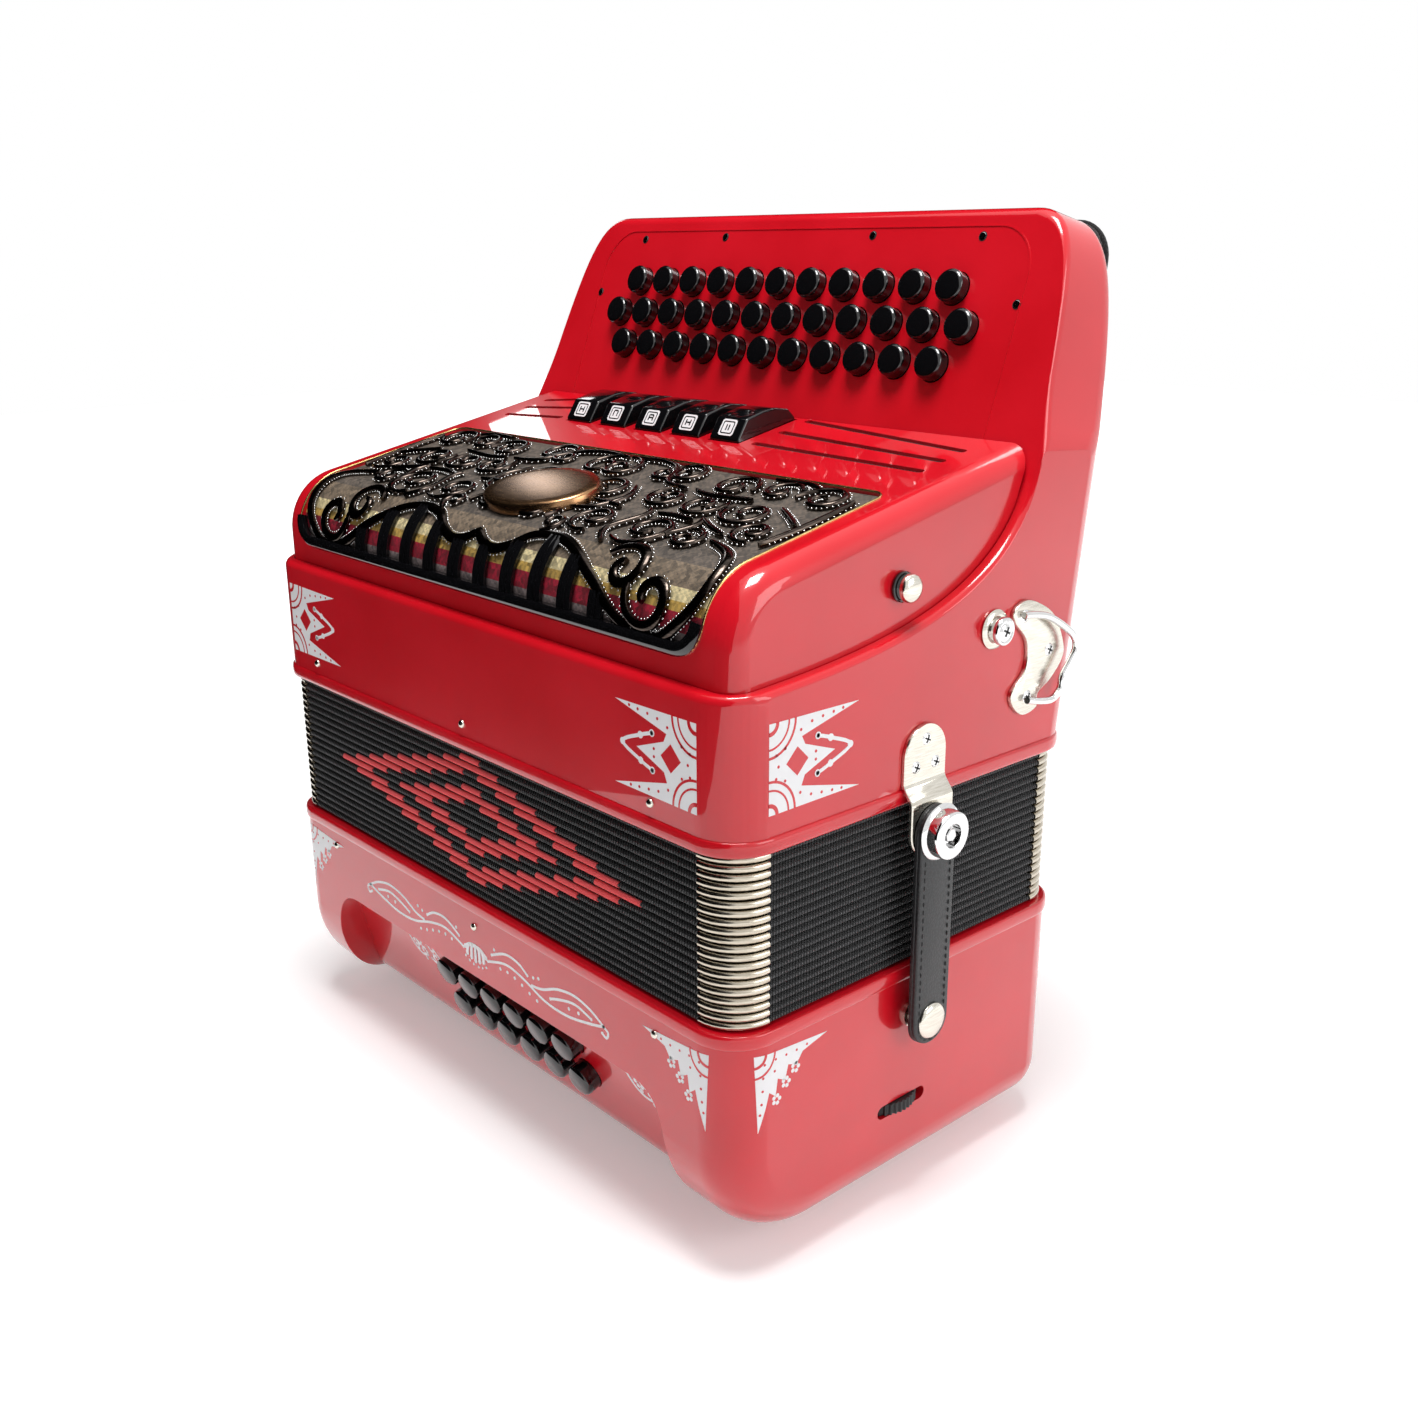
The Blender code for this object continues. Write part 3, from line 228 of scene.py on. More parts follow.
def polish(piece, angle=30.0):
    # Smooth shading whose normals follow the large faces, so flat lacquer reflects flat
    piece.data.shade_smooth()
    piece.data.set_sharp_from_angle(angle=math.radians(angle))
    modifier = piece.modifiers.new("normals", "WEIGHTED_NORMAL")
    modifier.mode = "FACE_AREA"
    modifier.keep_sharp = True


def colour(code):
    # sRGB hex to linear with full alpha
    channels = [int(code[i:i + 2], 16) / 255 for i in (1, 3, 5)]
    return tuple(c / 12.92 if c <= 0.04045 else ((c + 0.055) / 1.055) ** 2.4 for c in channels) + (1.0,)


def addNode(tree, kind, sockets=None, **settings):
    # One node with its settings; a socket takes a value or another node's output
    node = tree.nodes.new("ShaderNode" + kind)
    for key, value in settings.items():
        setattr(node, key, value)
    for socket, value in (sockets or {}).items():
        if isinstance(value, bpy.types.NodeSocket):
            tree.links.new(value, node.inputs[socket])
        else:
            node.inputs[socket].default_value = value
    return node


def startMaterial(name, sockets):
    material = bpy.data.materials.new(name)
    material.use_nodes = True
    shader = material.node_tree.nodes["Principled BSDF"]
    for socket, value in sockets.items():
        shader.inputs[socket].default_value = value
    return material, material.node_tree, shader


def tint(tree, shader, source, stops):
    # Colour ramp from a pattern into the shader
    ramp = addNode(tree, "ValToRGB", {"Fac": source})
    while len(ramp.color_ramp.elements) < len(stops):
        ramp.color_ramp.elements.new(0.5)
    for element, (position, shade) in zip(ramp.color_ramp.elements, stops):
        element.position = position
        element.color = shade
    tree.links.new(ramp.outputs["Color"], shader.inputs["Base Color"])


def roughen(tree, shader, source, low, high):
    spanned = addNode(tree, "MapRange", {"Value": source, "To Min": low, "To Max": high})
    tree.links.new(spanned.outputs["Result"], shader.inputs["Roughness"])


def emboss(tree, shader, source, strength, distance):
    bump = addNode(tree, "Bump", {"Height": source, "Strength": strength, "Distance": distance})
    tree.links.new(bump.outputs["Normal"], shader.inputs["Normal"])


# Materials. A noise's spots lie about 1 / scale metres apart, a wave's bands 0.314 / scale
def makeLacquer():
    # Sprayed and polished polyester lacquer: deep colour, mirror coat, faint orange peel
    material, tree, shader = startMaterial("polishedPolyesterLacquer", {
        "Roughness": 0.3, "IOR": 1.5, "Specular IOR Level": 0.2,
        "Coat Weight": 1.0, "Coat Roughness": 0.02, "Coat IOR": 1.5})
    place = addNode(tree, "TexCoord").outputs["Object"]
    patches = addNode(tree, "TexNoise", {"Vector": place, "Scale": 24.0, "Detail": 2.0})  # 40 mm
    tint(tree, shader, patches.outputs["Fac"], ((0.3, colour("#CB0A1B")), (0.7, colour("#D61022"))))
    peel = addNode(tree, "TexNoise", {"Vector": place, "Scale": 260.0, "Detail": 2.0})  # 4 mm ripples
    emboss(tree, shader, peel.outputs["Fac"], 0.05, 0.0003)
    roughen(tree, shader, patches.outputs["Fac"], 0.26, 0.34)
    return material


def makePlastic(name, code, low, high, coat=0.0):
    # Moulded plastic: even colour, gloss that changes a little where hands polish it
    material, tree, shader = startMaterial(name, {
        "Base Color": colour(code), "IOR": 1.5, "Coat Weight": coat, "Coat Roughness": 0.03})
    place = addNode(tree, "TexCoord").outputs["Object"]
    handled = addNode(tree, "TexNoise", {"Vector": place, "Scale": 90.0, "Detail": 4.0})  # 11 mm
    roughen(tree, shader, handled.outputs["Fac"], low, high)
    grain = addNode(tree, "TexNoise", {"Vector": place, "Scale": 900.0, "Detail": 2.0})  # 1.1 mm
    emboss(tree, shader, grain.outputs["Fac"], 0.04, 0.0001)
    return material


def makeMetal(name, light, dark, low, high, scratch=0.04):
    # Plated metal: bright, with fine polishing marks in its gloss
    material, tree, shader = startMaterial(name, {"Metallic": 1.0})
    place = addNode(tree, "TexCoord").outputs["Object"]
    stretched = addNode(tree, "Mapping", {"Vector": place, "Scale": (1.0, 1.0, 14.0)})
    marks = addNode(tree, "TexNoise", {"Vector": stretched.outputs["Vector"],
                                       "Scale": 160.0, "Detail": 5.0})  # 6 mm long, 0.4 mm wide
    tint(tree, shader, marks.outputs["Fac"], ((0.3, colour(dark)), (0.7, colour(light))))
    roughen(tree, shader, marks.outputs["Fac"], low, high)
    emboss(tree, shader, marks.outputs["Fac"], scratch, 0.0001)
    return material


def makeCloth(name, dark, light, threadScale, roughness=0.85, bump=0.5):
    # Woven cotton over board: dull, threads cross at right angles. At a thread scale of 330
    # they lie 0.95 mm apart, coarser than real ones, so that they show
    material, tree, shader = startMaterial(name, {
        "Roughness": roughness, "Sheen Weight": 0.15, "Sheen Roughness": 0.4})
    place = addNode(tree, "TexCoord").outputs["Object"]
    turnedPlace = addNode(tree, "Mapping", {"Vector": place, "Rotation": (0, 0, math.radians(45))})
    threads = {"Vector": turnedPlace.outputs["Vector"], "Scale": threadScale,
               "Distortion": 1.5, "Detail": 2.0, "Detail Scale": 2.0}
    warp = addNode(tree, "TexWave", threads, bands_direction="X")
    weft = addNode(tree, "TexWave", threads, bands_direction="Y")
    woven = addNode(tree, "Math", {0: warp.outputs["Fac"], 1: weft.outputs["Fac"]}, operation="MULTIPLY")
    tint(tree, shader, woven.outputs["Value"], ((0.0, colour(dark)), (0.8, colour(light))))
    emboss(tree, shader, woven.outputs["Value"], bump, 0.0006)
    return material


def makeLeather():
    # Pigmented cowhide strap: small pebbled grain, satin where it bends
    material, tree, shader = startMaterial("pigmentedStrapLeather", {"Base Color": colour("#222325")})
    place = addNode(tree, "TexCoord").outputs["Object"]
    pebbles = addNode(tree, "TexVoronoi", {"Vector": place, "Scale": 1100.0})  # 0.9 mm grain
    tint(tree, shader, pebbles.outputs["Distance"], ((0.0, colour("#2C2D30")), (0.7, colour("#161718"))))
    worn = addNode(tree, "TexNoise", {"Vector": place, "Scale": 60.0, "Detail": 3.0})
    roughen(tree, shader, worn.outputs["Fac"], 0.32, 0.5)
    emboss(tree, shader, pebbles.outputs["Distance"], 0.25, 0.0002)
    return material


lacquer = makeLacquer()
gloss = makePlastic("glossBlackAbs", "#0C0C0E", 0.06, 0.14, 0.5)
# Real rubber on the feet; the same dark material is also painted shade in screw recesses and countersinks
rubberAndRecessShade = makePlastic("mouldedRubberAndRecessShade", "#1A1A1B", 0.55, 0.7)
nickel = makeMetal("brightNickelPlate", "#E2DED4", "#CBC5B8", 0.14, 0.26, 0.02)
cornerNickel = makeMetal("warmNickelPlate", "#D0C8B9", "#ADA494", 0.16, 0.3)
chrome = makeMetal("polishedChrome", "#E6E6E6", "#D8D8D8", 0.05, 0.12, 0.02)
bellowsCloth = makeCloth("wovenBellowsCloth", "#0B0B0C", "#48484B", 330.0, bump=0.9)
motifCloth = makeCloth("redBindingCloth", "#F03A40", "#FF7678", 700.0)
leather = makeLeather()


liningBands = {
    "low": 0.2255,  # world heights between which the bands lie
    "high": 0.2685,
    "shades": ((0.0, "#8B7F80"), (0.16, "#9C1D34"), (0.30, "#B99A55"), (0.37, "#D8CBA0"),
               (0.46, "#7A6C5C"), (0.60, "#5E554D")),
}


def makeLiningCloth():
    # Woven plaid: cream and red bands across brown under a fine check of 1.3 mm squares
    material, tree, shader = startMaterial("plaidGrilleCloth", {"Roughness": 0.7})
    place = addNode(tree, "TexCoord").outputs["Object"]
    threads = addNode(tree, "TexChecker", {"Vector": place, "Scale": 760.0,
                                           "Color1": colour("#3A332E"), "Color2": colour("#8C8174")})
    height = addNode(tree, "SeparateXYZ", {"Vector": place})
    share = addNode(tree, "MapRange", {"Value": height.outputs["Z"], "From Min": liningBands["low"],
                                       "From Max": liningBands["high"]})
    bands = addNode(tree, "ValToRGB", {"Fac": share.outputs["Result"]})
    ramp = bands.color_ramp
    ramp.interpolation = "CONSTANT"
    while len(ramp.elements) < len(liningBands["shades"]):
        ramp.elements.new(0.5)
    for element, (position, shade) in zip(ramp.elements, liningBands["shades"]):
        element.position, element.color = position, colour(shade)
    mixed = addNode(tree, "Mix", {0: 0.62}, data_type="RGBA", blend_type="MULTIPLY")
    tree.links.new(bands.outputs["Color"], mixed.inputs[6])
    tree.links.new(threads.outputs["Color"], mixed.inputs[7])
    flecks = addNode(tree, "TexVoronoi", {"Vector": place, "Scale": 520.0})  # 1.9 mm slubs
    fleckRed = addNode(tree, "SeparateColor", {"Color": flecks.outputs["Color"]})
    fleckLevel = addNode(tree, "MapRange", {"Value": fleckRed.outputs["Red"], "To Min": 0.75, "To Max": 2.1})
    bright = addNode(tree, "HueSaturation", {"Color": mixed.outputs[2], "Value": fleckLevel.outputs["Result"],
                                             "Saturation": 1.05})
    tree.links.new(bright.outputs["Color"], shader.inputs["Base Color"])
    emboss(tree, shader, threads.outputs["Fac"], 0.4, 0.0003)
    return material


def makePerforated():
    # Punched black steel: rows of small round holes, not cut through but painted as darker dots, the painted
    # shade of the dark space behind the sheet
    material, tree, shader = startMaterial("perforatedSteel", {"Metallic": 0.6})
    place = addNode(tree, "TexCoord").outputs["Object"]
    holes = addNode(tree, "TexVoronoi", {"Vector": place, "Scale": 620.0, "Randomness": 0.0})  # every 1.6 mm
    # The near-black dots are painted shade standing in for the holes
    tint(tree, shader, holes.outputs["Distance"], ((0.30, colour("#050505")), (0.42, colour("#4A4A4C"))))
    roughen(tree, shader, holes.outputs["Distance"], 0.7, 0.35)
    emboss(tree, shader, holes.outputs["Distance"], 0.5, 0.0006)
    return material


liningCloth = makeLiningCloth()
perforatedMesh = makePerforated()
gunmetal = makeMetal("blackNickelPlate", "#5A5049", "#2E2825", 0.12, 0.24, 0.03)
gilt = makeMetal("giltBrassBead", "#D9BE84", "#B99A5C", 0.2, 0.32)
bronze = makeMetal("polishedBronze", "#B48C66", "#966E4C", 0.22, 0.3, 0.01)
enamelWhite = makePlastic("whitePadPrint", "#F0F0F2", 0.3, 0.45)
thread = makePlastic("waxedLinenThread", "#0B0B0C", 0.45, 0.6)
wheelPlastic = makePlastic("milledNylon", "#151516", 0.4, 0.55)
padCloth = makeCloth("brushedPadCloth", "#0A0A0B", "#222225", 500.0, 0.95)
print("materials made")


# Curves of the treble casing
board = {"footY": 0.0167, "lean": math.radians(20.7), "backLean": math.radians(7.4), "skin": 0.0005}
block = {"height": 0.200, "edgeRadius": 0.005, "topFall": 0.0035, "rimRadius": 0.003, "bandHeight": 0.0535}


def setback(x, radius, half):
    over = abs(x) - (half - radius)
    return 0.0 if over <= 0.0 else radius - math.sqrt(max(radius ** 2 - over ** 2, 0.0))


def endPositions(radius, half, steps):
    return [half - radius + radius * math.sin(math.pi / 2 * t) for t in spread(steps)]


def mirrored(positions):
    positions = sorted(set(round(x, 6) for x in positions))
    kept = [x for i, x in enumerate(positions) if i == 0 or x - positions[i - 1] > 0.00012]
    return [-x for x in reversed(kept) if x > 0.0] + kept


def roundedRectangle(halfX, halfY, radius, steps):
    outline = []
    for quarter, (sx, sy) in enumerate(((1, 1), (-1, 1), (-1, -1), (1, -1))):
        for t in spread(steps):
            angle = math.pi / 2 * (quarter + t)
            outline.append((sx * (halfX - radius) + radius * math.cos(angle),
                            sy * (halfY - radius) + radius * math.sin(angle)))
    return outline


def boardY(z):
    return board["footY"] + math.tan(board["lean"]) * z


def backY(z):
    return halfDepth + math.tan(board["backLean"]) * z


rimMeetsBoard = block["bandHeight"] + 0.0595
rimCurve = ((-halfDepth, block["bandHeight"]),
            (0.0, block["bandHeight"] + 0.0035),
            (boardY(rimMeetsBoard) - 0.0105, block["bandHeight"] + 0.0185),
            (boardY(rimMeetsBoard), rimMeetsBoard))
shoulder = block["height"] - 0.052
blockCorner = ((halfLength - 0.0345, block["height"]), (halfLength - 0.017, block["height"]),
               (halfLength - 0.0125, block["height"] - 0.014), (halfLength - 0.007, shoulder))
blockFlare = ((halfLength - 0.007, shoulder), (halfLength - 0.0052, shoulder - 0.016),
              (halfLength, block["height"] - 0.082))
blockOutline = [tuple(bezier(blockCorner, t)) for t in spread(18)]
blockOutline += [tuple(bezier(blockFlare, t)) for t in spread(9)[1:]]


def rimShare(y):
    # How far along the rim's curve it reaches y, by halving
    low, high = 0.0, 1.0
    for _ in range(30):
        middle = (low + high) / 2
        low, high = (middle, high) if bezier(rimCurve, middle)[0] < y else (low, middle)
    return low


def trebleSection(x):
    # Outline in Y and Z of the treble casing at x, before its wells are cut
    rim = block["rimRadius"]
    shift = setback(x, casing["cornerRadius"], halfLength)
    front = -halfDepth + shift
    drop = setback(x, rim, halfLength)
    top = levelAt(blockOutline, x) - drop
    start = rimShare(front + rim)
    rimStart = bezier(rimCurve, start)
    points = [(front, 0.0)]
    for t in spread(5)[:-1]:
        angle = math.pi / 2 * t
        points.append((front + rim * (1 - math.cos(angle)),
                       rimStart[1] - drop - rim * (1 - math.sin(angle))))
    for t in spread(22):
        p = bezier(rimCurve, start + (1 - start) * t)
        points.append((p[0], p[1] - drop))
    radius = min(block["edgeRadius"], 0.7 * (top - rimMeetsBoard + drop))
    centreZ = top - radius
    centreY = boardY(centreZ) + radius / math.cos(board["lean"])
    for t in spread(7):
        angle = board["lean"] + (math.pi / 2 - board["lean"]) * t
        points.append((centreY - radius * math.cos(angle), centreZ + radius * math.sin(angle)))
    centreZ -= min(block["topFall"], 0.3 * (top - rimMeetsBoard + drop))
    centreY = backY(centreZ) - shift - radius / math.cos(board["backLean"])
    for t in spread(7):
        angle = math.pi / 2 - (math.pi / 2 + board["backLean"]) * t
        points.append((centreY + radius * math.cos(angle), centreZ + radius * math.sin(angle)))
    points.append((backY(0.0) - shift, 0.0))
    return points


cover = {"inset": 0.0055, "edgeRadius": 0.009, "bendRadius": 0.026, "slope": 0.211, "height": 0.1055,
         "seat": 0.0455, "skin": 0.003, "wellFloor": 0.018}
well = {"clearance": 0.0004, "spare": 0.0006, "over": 0.004}  # round the buttons' stems, under and above them
coverHalf = halfLength - cover["inset"]
coverFront = -halfDepth + cover["inset"]
slopeAngle = math.atan(cover["slope"])
boardNormal = Vector((0, -math.cos(board["lean"]), math.sin(board["lean"])))
boardDown = Vector((0, -math.sin(board["lean"]), -math.cos(board["lean"])))
trebleButtons = {"radius": 0.0065, "height": 0.0055, "pitch": 0.0189, "rowPitch": 0.0151,
                 "topRow": 0.1709, "rows": (11, 12, 11), "stem": 0.006, "travel": 0.004}


def wallPrism(bm, half, front, radius, low, high):
    # Block with rounded upright corners that reaches back to the button board
    rings = []
    for x in mirrored([0.0] + endPositions(radius, half, 8)):
        y = front + setback(x, radius, half)
        outline = ((y, low), (y, high), (boardY(high) - board["skin"], high),
                   (boardY(low) - board["skin"], low))
        rings.append([(x, u, bellowsTop + v) for u, v in outline])
    loft(bm, rings)


def trebleButtonPlaces():
    for row, count in enumerate(trebleButtons["rows"]):
        z = trebleButtons["topRow"]
        start = Vector((0, boardY(z), bellowsTop + z)) + boardDown * trebleButtons["rowPitch"] * row
        for i in range(count):
            yield (f"treble_button_{row + 1}_{i + 1:02d}",
                   start + Vector(((i - (count - 1) / 2) * trebleButtons["pitch"], 0, 0)))


def buttonWell(bm, button, place, normal):
    radius = button["radius"] + well["clearance"]
    depth = button["stem"] + button["travel"] + well["spare"]
    high = depth + well["over"]
    turned(bm, ((0, 0), (radius, 0), (radius, high), (0, high)), place - normal * depth, normal, 28)


def makeTrebleCasing():
    positions = [0.0] + [p[0] for p in blockOutline] + endPositions(block["rimRadius"], halfLength, 6)
    positions += endPositions(casing["cornerRadius"], halfLength, 10)
    bm = bmesh.new()
    loft(bm, [[(x, y, bellowsTop + z) for y, z in trebleSection(x)] for x in mirrored(positions)])
    piece = finishPiece("trebleCasing", bm, lacquer)
    wellHalf, wellFront = coverHalf + gap, coverFront - gap
    bm = bmesh.new()
    wallPrism(bm, wellHalf, wellFront, cover["edgeRadius"], cover["wellFloor"], block["height"] + 0.02)
    cut(piece, bm)

    def wellRim(p, edge):
        # Edges where the well's wall meets the rounded rim
        z = p.z - bellowsTop
        reach = wellFront + setback(p.x, cover["edgeRadius"], wellHalf)
        onWall = abs(abs(p.x) - wellHalf) < 0.0006 or p.y < reach + 0.0008
        span = edge.verts[1].co - edge.verts[0].co
        upright = abs(span.x) < 1e-5 and abs(span.y) < 1e-5
        return (onWall and z > 0.045 and p.y < boardY(z) - 0.002 and abs(p.x) < wellHalf + 0.0006
                and abs(span.z) < 0.02 and not upright)

    roundEdges(piece, wellRim, 0.0012)
    bm = bmesh.new()
    for _, place in trebleButtonPlaces():
        buttonWell(bm, trebleButtons, place, boardNormal)
    cut(piece, bm)
    mouth = roundedRectangle(halfLength - 0.009, halfDepth - 0.009, 0.009, 6)
    bm = bmesh.new()
    plate(bm, atHeight(mouth, bellowsTop - 0.001), (0, 0, 0.013))
    cut(piece, bm)
    polish(piece)
    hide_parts("treble_case")
    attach(piece, "treble")


makeTrebleCasing()
print("treble casing made")


# Cover with its window
grille = {"half": 0.1345, "backY": 0.0005, "bottom": 0.0625, "topRadius": 0.006, "lowRadius": 0.012}
switches = {"count": 5, "pitch": 0.0246, "width": 0.0175, "centreX": -0.0270, "frontY": 0.0265,
            "backY": 0.0590, "height": 0.0085, "depth": 0.0035, "gap": 0.0006}
slots = {"width": 0.0032, "innerY": 0.0283, "innerPitch": 0.0150, "outerY": 0.0238, "outerPitch": 0.0116}


def coverProfile(inset, bottom, backGap, steps=14):
    # Outline in Y and Z: up the front, round the bend, up the slope and down the board
    top = cover["height"] - inset / math.cos(slopeAngle)
    front = coverFront + inset
    radius = cover["bendRadius"] - inset
    centreY = front + radius
    centreZ = top + cover["slope"] * centreY - radius / math.cos(slopeAngle)
    points = [(front, bottom)]
    for t in spread(steps):
        angle = (math.pi / 2 - slopeAngle) * t
        points.append((centreY - radius * math.cos(angle), centreZ + radius * math.sin(angle)))
    k = math.tan(board["lean"])
    backTop = (board["footY"] - backGap + k * top) / (1 - k * cover["slope"])
    points.append((backTop, top + cover["slope"] * backTop))
    points.append((boardY(bottom) - backGap, bottom))
    return points


bendCentreY = coverFront + cover["bendRadius"]
bendCentreZ = cover["height"] + cover["slope"] * bendCentreY - cover["bendRadius"] / math.cos(slopeAngle)
bendTurn = math.pi / 2 - slopeAngle
flatRun = (grille["backY"] - (bendCentreY - cover["bendRadius"] * math.cos(bendTurn))) / math.cos(slopeAngle)
bendRun = cover["bendRadius"] * bendTurn
windowLength = flatRun + bendRun + bendCentreZ - grille["bottom"]


def overCover(x, s, rise):
    # Point over the cover: s runs forward from the window's back edge and down round the bend
    if s <= flatRun:
        y = grille["backY"] - s * math.cos(slopeAngle)
        z = cover["height"] + cover["slope"] * y
        normal = (-math.sin(slopeAngle), math.cos(slopeAngle))
    elif s <= flatRun + bendRun:
        angle = bendTurn - (s - flatRun) / cover["bendRadius"]
        normal = (-math.cos(angle), math.sin(angle))
        y = bendCentreY + cover["bendRadius"] * normal[0]
        z = bendCentreZ + cover["bendRadius"] * normal[1]
    else:
        normal = (-1.0, 0.0)
        y = coverFront
        z = bendCentreZ - (s - flatRun - bendRun)
    return Vector((x, y + normal[0] * rise, bellowsTop + z + normal[1] * rise))


def overPanel(x, y, rise):
    # Point over the cover's slope
    base = Vector((x, y, bellowsTop + cover["height"] + cover["slope"] * y))
    return base + Vector((0, -math.sin(slopeAngle), math.cos(slopeAngle))) * rise


def windowReach(s, margin=0.0):
    # Half-width of the window at s, with its rounded corners
    half, low, high = grille["half"] - margin, margin, windowLength - margin
    for radius, over in ((grille["topRadius"], low + grille["topRadius"] - s),
                         (grille["lowRadius"], s - (high - grille["lowRadius"]))):
        if over > 0:
            return half - (radius - math.sqrt(max(radius ** 2 - min(over, radius) ** 2, 0.0)))
    return half


def windowRows(margin=0.0, steps=26):
    # Places along the window, closer together round its corners
    start, end = margin + grille["topRadius"], windowLength - margin - grille["lowRadius"]
    rows = [start - grille["topRadius"] * math.cos(math.pi / 2 * t) for t in spread(6)]
    rows += [start + (end - start) * t for t in spread(steps)[1:]]
    rows += [end + grille["lowRadius"] * math.sin(math.pi / 2 * t) for t in spread(8)[1:]]
    return rows


def switchX(i):
    return switches["centreX"] + (i - (switches["count"] - 1) / 2) * switches["pitch"]


def slotEnds():
    # Three sound slots on each side of the switches, as (side, inner end, outer end)
    reach = (switches["count"] - 1) / 2 * switches["pitch"] + switches["width"] / 2 + 0.008
    for side in (1, -1):
        inner = switches["centreX"] + side * reach
        for k in range(3):
            yield (side, (inner, slots["innerY"] + slots["innerPitch"] * k),
                   (side * (coverHalf - 0.0205), slots["outerY"] + slots["outerPitch"] * k))


def makeCover():
    bm = bmesh.new()
    rings = []
    for x in mirrored([0.0] + endPositions(cover["edgeRadius"], coverHalf, 12)):
        inset = setback(x, cover["edgeRadius"], coverHalf)
        profile = coverProfile(inset, cover["seat"], board["skin"] + gap)
        rings.append([(x, y, bellowsTop + z) for y, z in profile])
    loft(bm, rings)
    piece = finishPiece("grilleCover", bm, lacquer)
    bm = bmesh.new()
    rings = []
    innerHalf = coverHalf - cover["skin"]
    for x in mirrored([0.0] + endPositions(cover["edgeRadius"] - cover["skin"], innerHalf, 8)):
        inset = cover["skin"] + setback(x, cover["edgeRadius"] - cover["skin"], innerHalf)
        profile = coverProfile(inset, cover["seat"] - 0.001, board["skin"] + cover["skin"])
        rings.append([(x, y, bellowsTop + z) for y, z in profile])
    loft(bm, rings)
    cut(piece, bm)
    bm = bmesh.new()
    rows = windowRows()
    corners = ((-1, -0.006), (-1, 0.003), (1, 0.003), (1, -0.006))
    loft(bm, [[overCover(side * windowReach(s), s, rise) for side, rise in corners] for s in rows])
    cut(piece, bm)
    bm = bmesh.new()
    through = overPanel(0, 0, 0.008) - overPanel(0, 0, 0)
    half = switches["width"] / 2 + switches["gap"]
    low, high = switches["frontY"] - switches["gap"], switches["backY"] + switches["gap"]
    for i in range(switches["count"]):
        corners = ((-half, low), (half, low), (half, high), (-half, high))
        plate(bm, [overPanel(switchX(i) + u, v, -0.005) for u, v in corners], through)
    for side, inner, outer in slotEnds():
        outline = []
        for turn, (px, py) in ((math.pi / 2, inner), (-math.pi / 2, outer)):
            for t in spread(6):
                angle = turn + side * math.pi * t
                outline.append(overPanel(px + slots["width"] / 2 * math.cos(angle),
                                         py + slots["width"] / 2 * math.sin(angle), -0.005))
        plate(bm, outline, through)
    cut(piece, bm)
    polish(piece)
    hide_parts("grille_cover")
    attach(piece, "treble")


makeCover()
print("cover made")


# Bass casing
bass = {"edgeRadius": 0.018, "frontRadius": 0.042, "floor": 0.043, "frontWall": 0.031, "backWall": 0.019,
        "endWall": 0.012}
recess = {"top": 0.0635, "lean": math.radians(18.0), "depth": 0.0065, "half": 0.118, "bend": 0.020}
bassButtons = {"radius": 0.0065, "height": 0.0070, "pitch": 0.0167, "shift": 0.0125, "offset": 0.0019,
               "rowPitch": 0.0163, "rowHeight": 0.0542, "count": 6, "stem": 0.006, "travel": 0.005}
recessNormal = Vector((0, -math.cos(recess["lean"]), -math.sin(recess["lean"])))
recessDown = Vector((0, math.sin(recess["lean"]), -math.cos(recess["lean"])))
bassBottom = casing["bassBottom"]


def recessY(z):
    # Face of the button panel, bent into the bottom
    topY = -halfDepth + recess["depth"]
    k, radius = math.tan(recess["lean"]), recess["bend"]
    centreZ = bassBottom + radius
    bendTop = centreZ - radius * math.sin(recess["lean"])
    centreY = topY + (recess["top"] - bendTop) * k + radius * math.cos(recess["lean"])
    if z >= bendTop:
        return topY + (recess["top"] - z) * k
    return centreY - radius * math.cos(math.asin(min((centreZ - z) / radius, 1.0)))


archCorner = ((recess["half"] - 0.018, recess["top"]), (recess["half"] - 0.003, recess["top"]),
              (recess["half"], recess["top"] - 0.015))
archFoot = ((recess["half"] + 0.0015, recess["top"] - 0.0225), (recess["half"] + 0.003, bassBottom + 0.004),
            (recess["half"] + 0.0200, bassBottom - 0.0005))
archPoints = [tuple(bezier(archCorner, t)) for t in spread(10)]
archPoints += [tuple(bezier(archFoot, t)) for t in spread(12)]


def bassButtonPlaces():
    for row in range(2):
        z = bassButtons["rowHeight"]
        start = Vector((0, recessY(z), z)) + recessDown * bassButtons["rowPitch"] * row
        for i in range(bassButtons["count"]):
            x = bassButtons["shift"] + (i - (bassButtons["count"] - 1) / 2) * bassButtons["pitch"]
            x += bassButtons["offset"] if row else -bassButtons["offset"]
            yield f"bass_button_{row + 1}_{i + 1}", start + Vector((x, 0, 0))


airButton = {"radius": 0.007, "height": 0.008, "stem": 0.008, "travel": 0.005, "x": 0.085, "z": 0.074}
wheel = {"radius": 0.016, "thickness": 0.0044, "proud": 0.0022, "y": -0.0045, "z": 0.0408, "ridges": 44,
         "ridgeDepth": 0.0007}


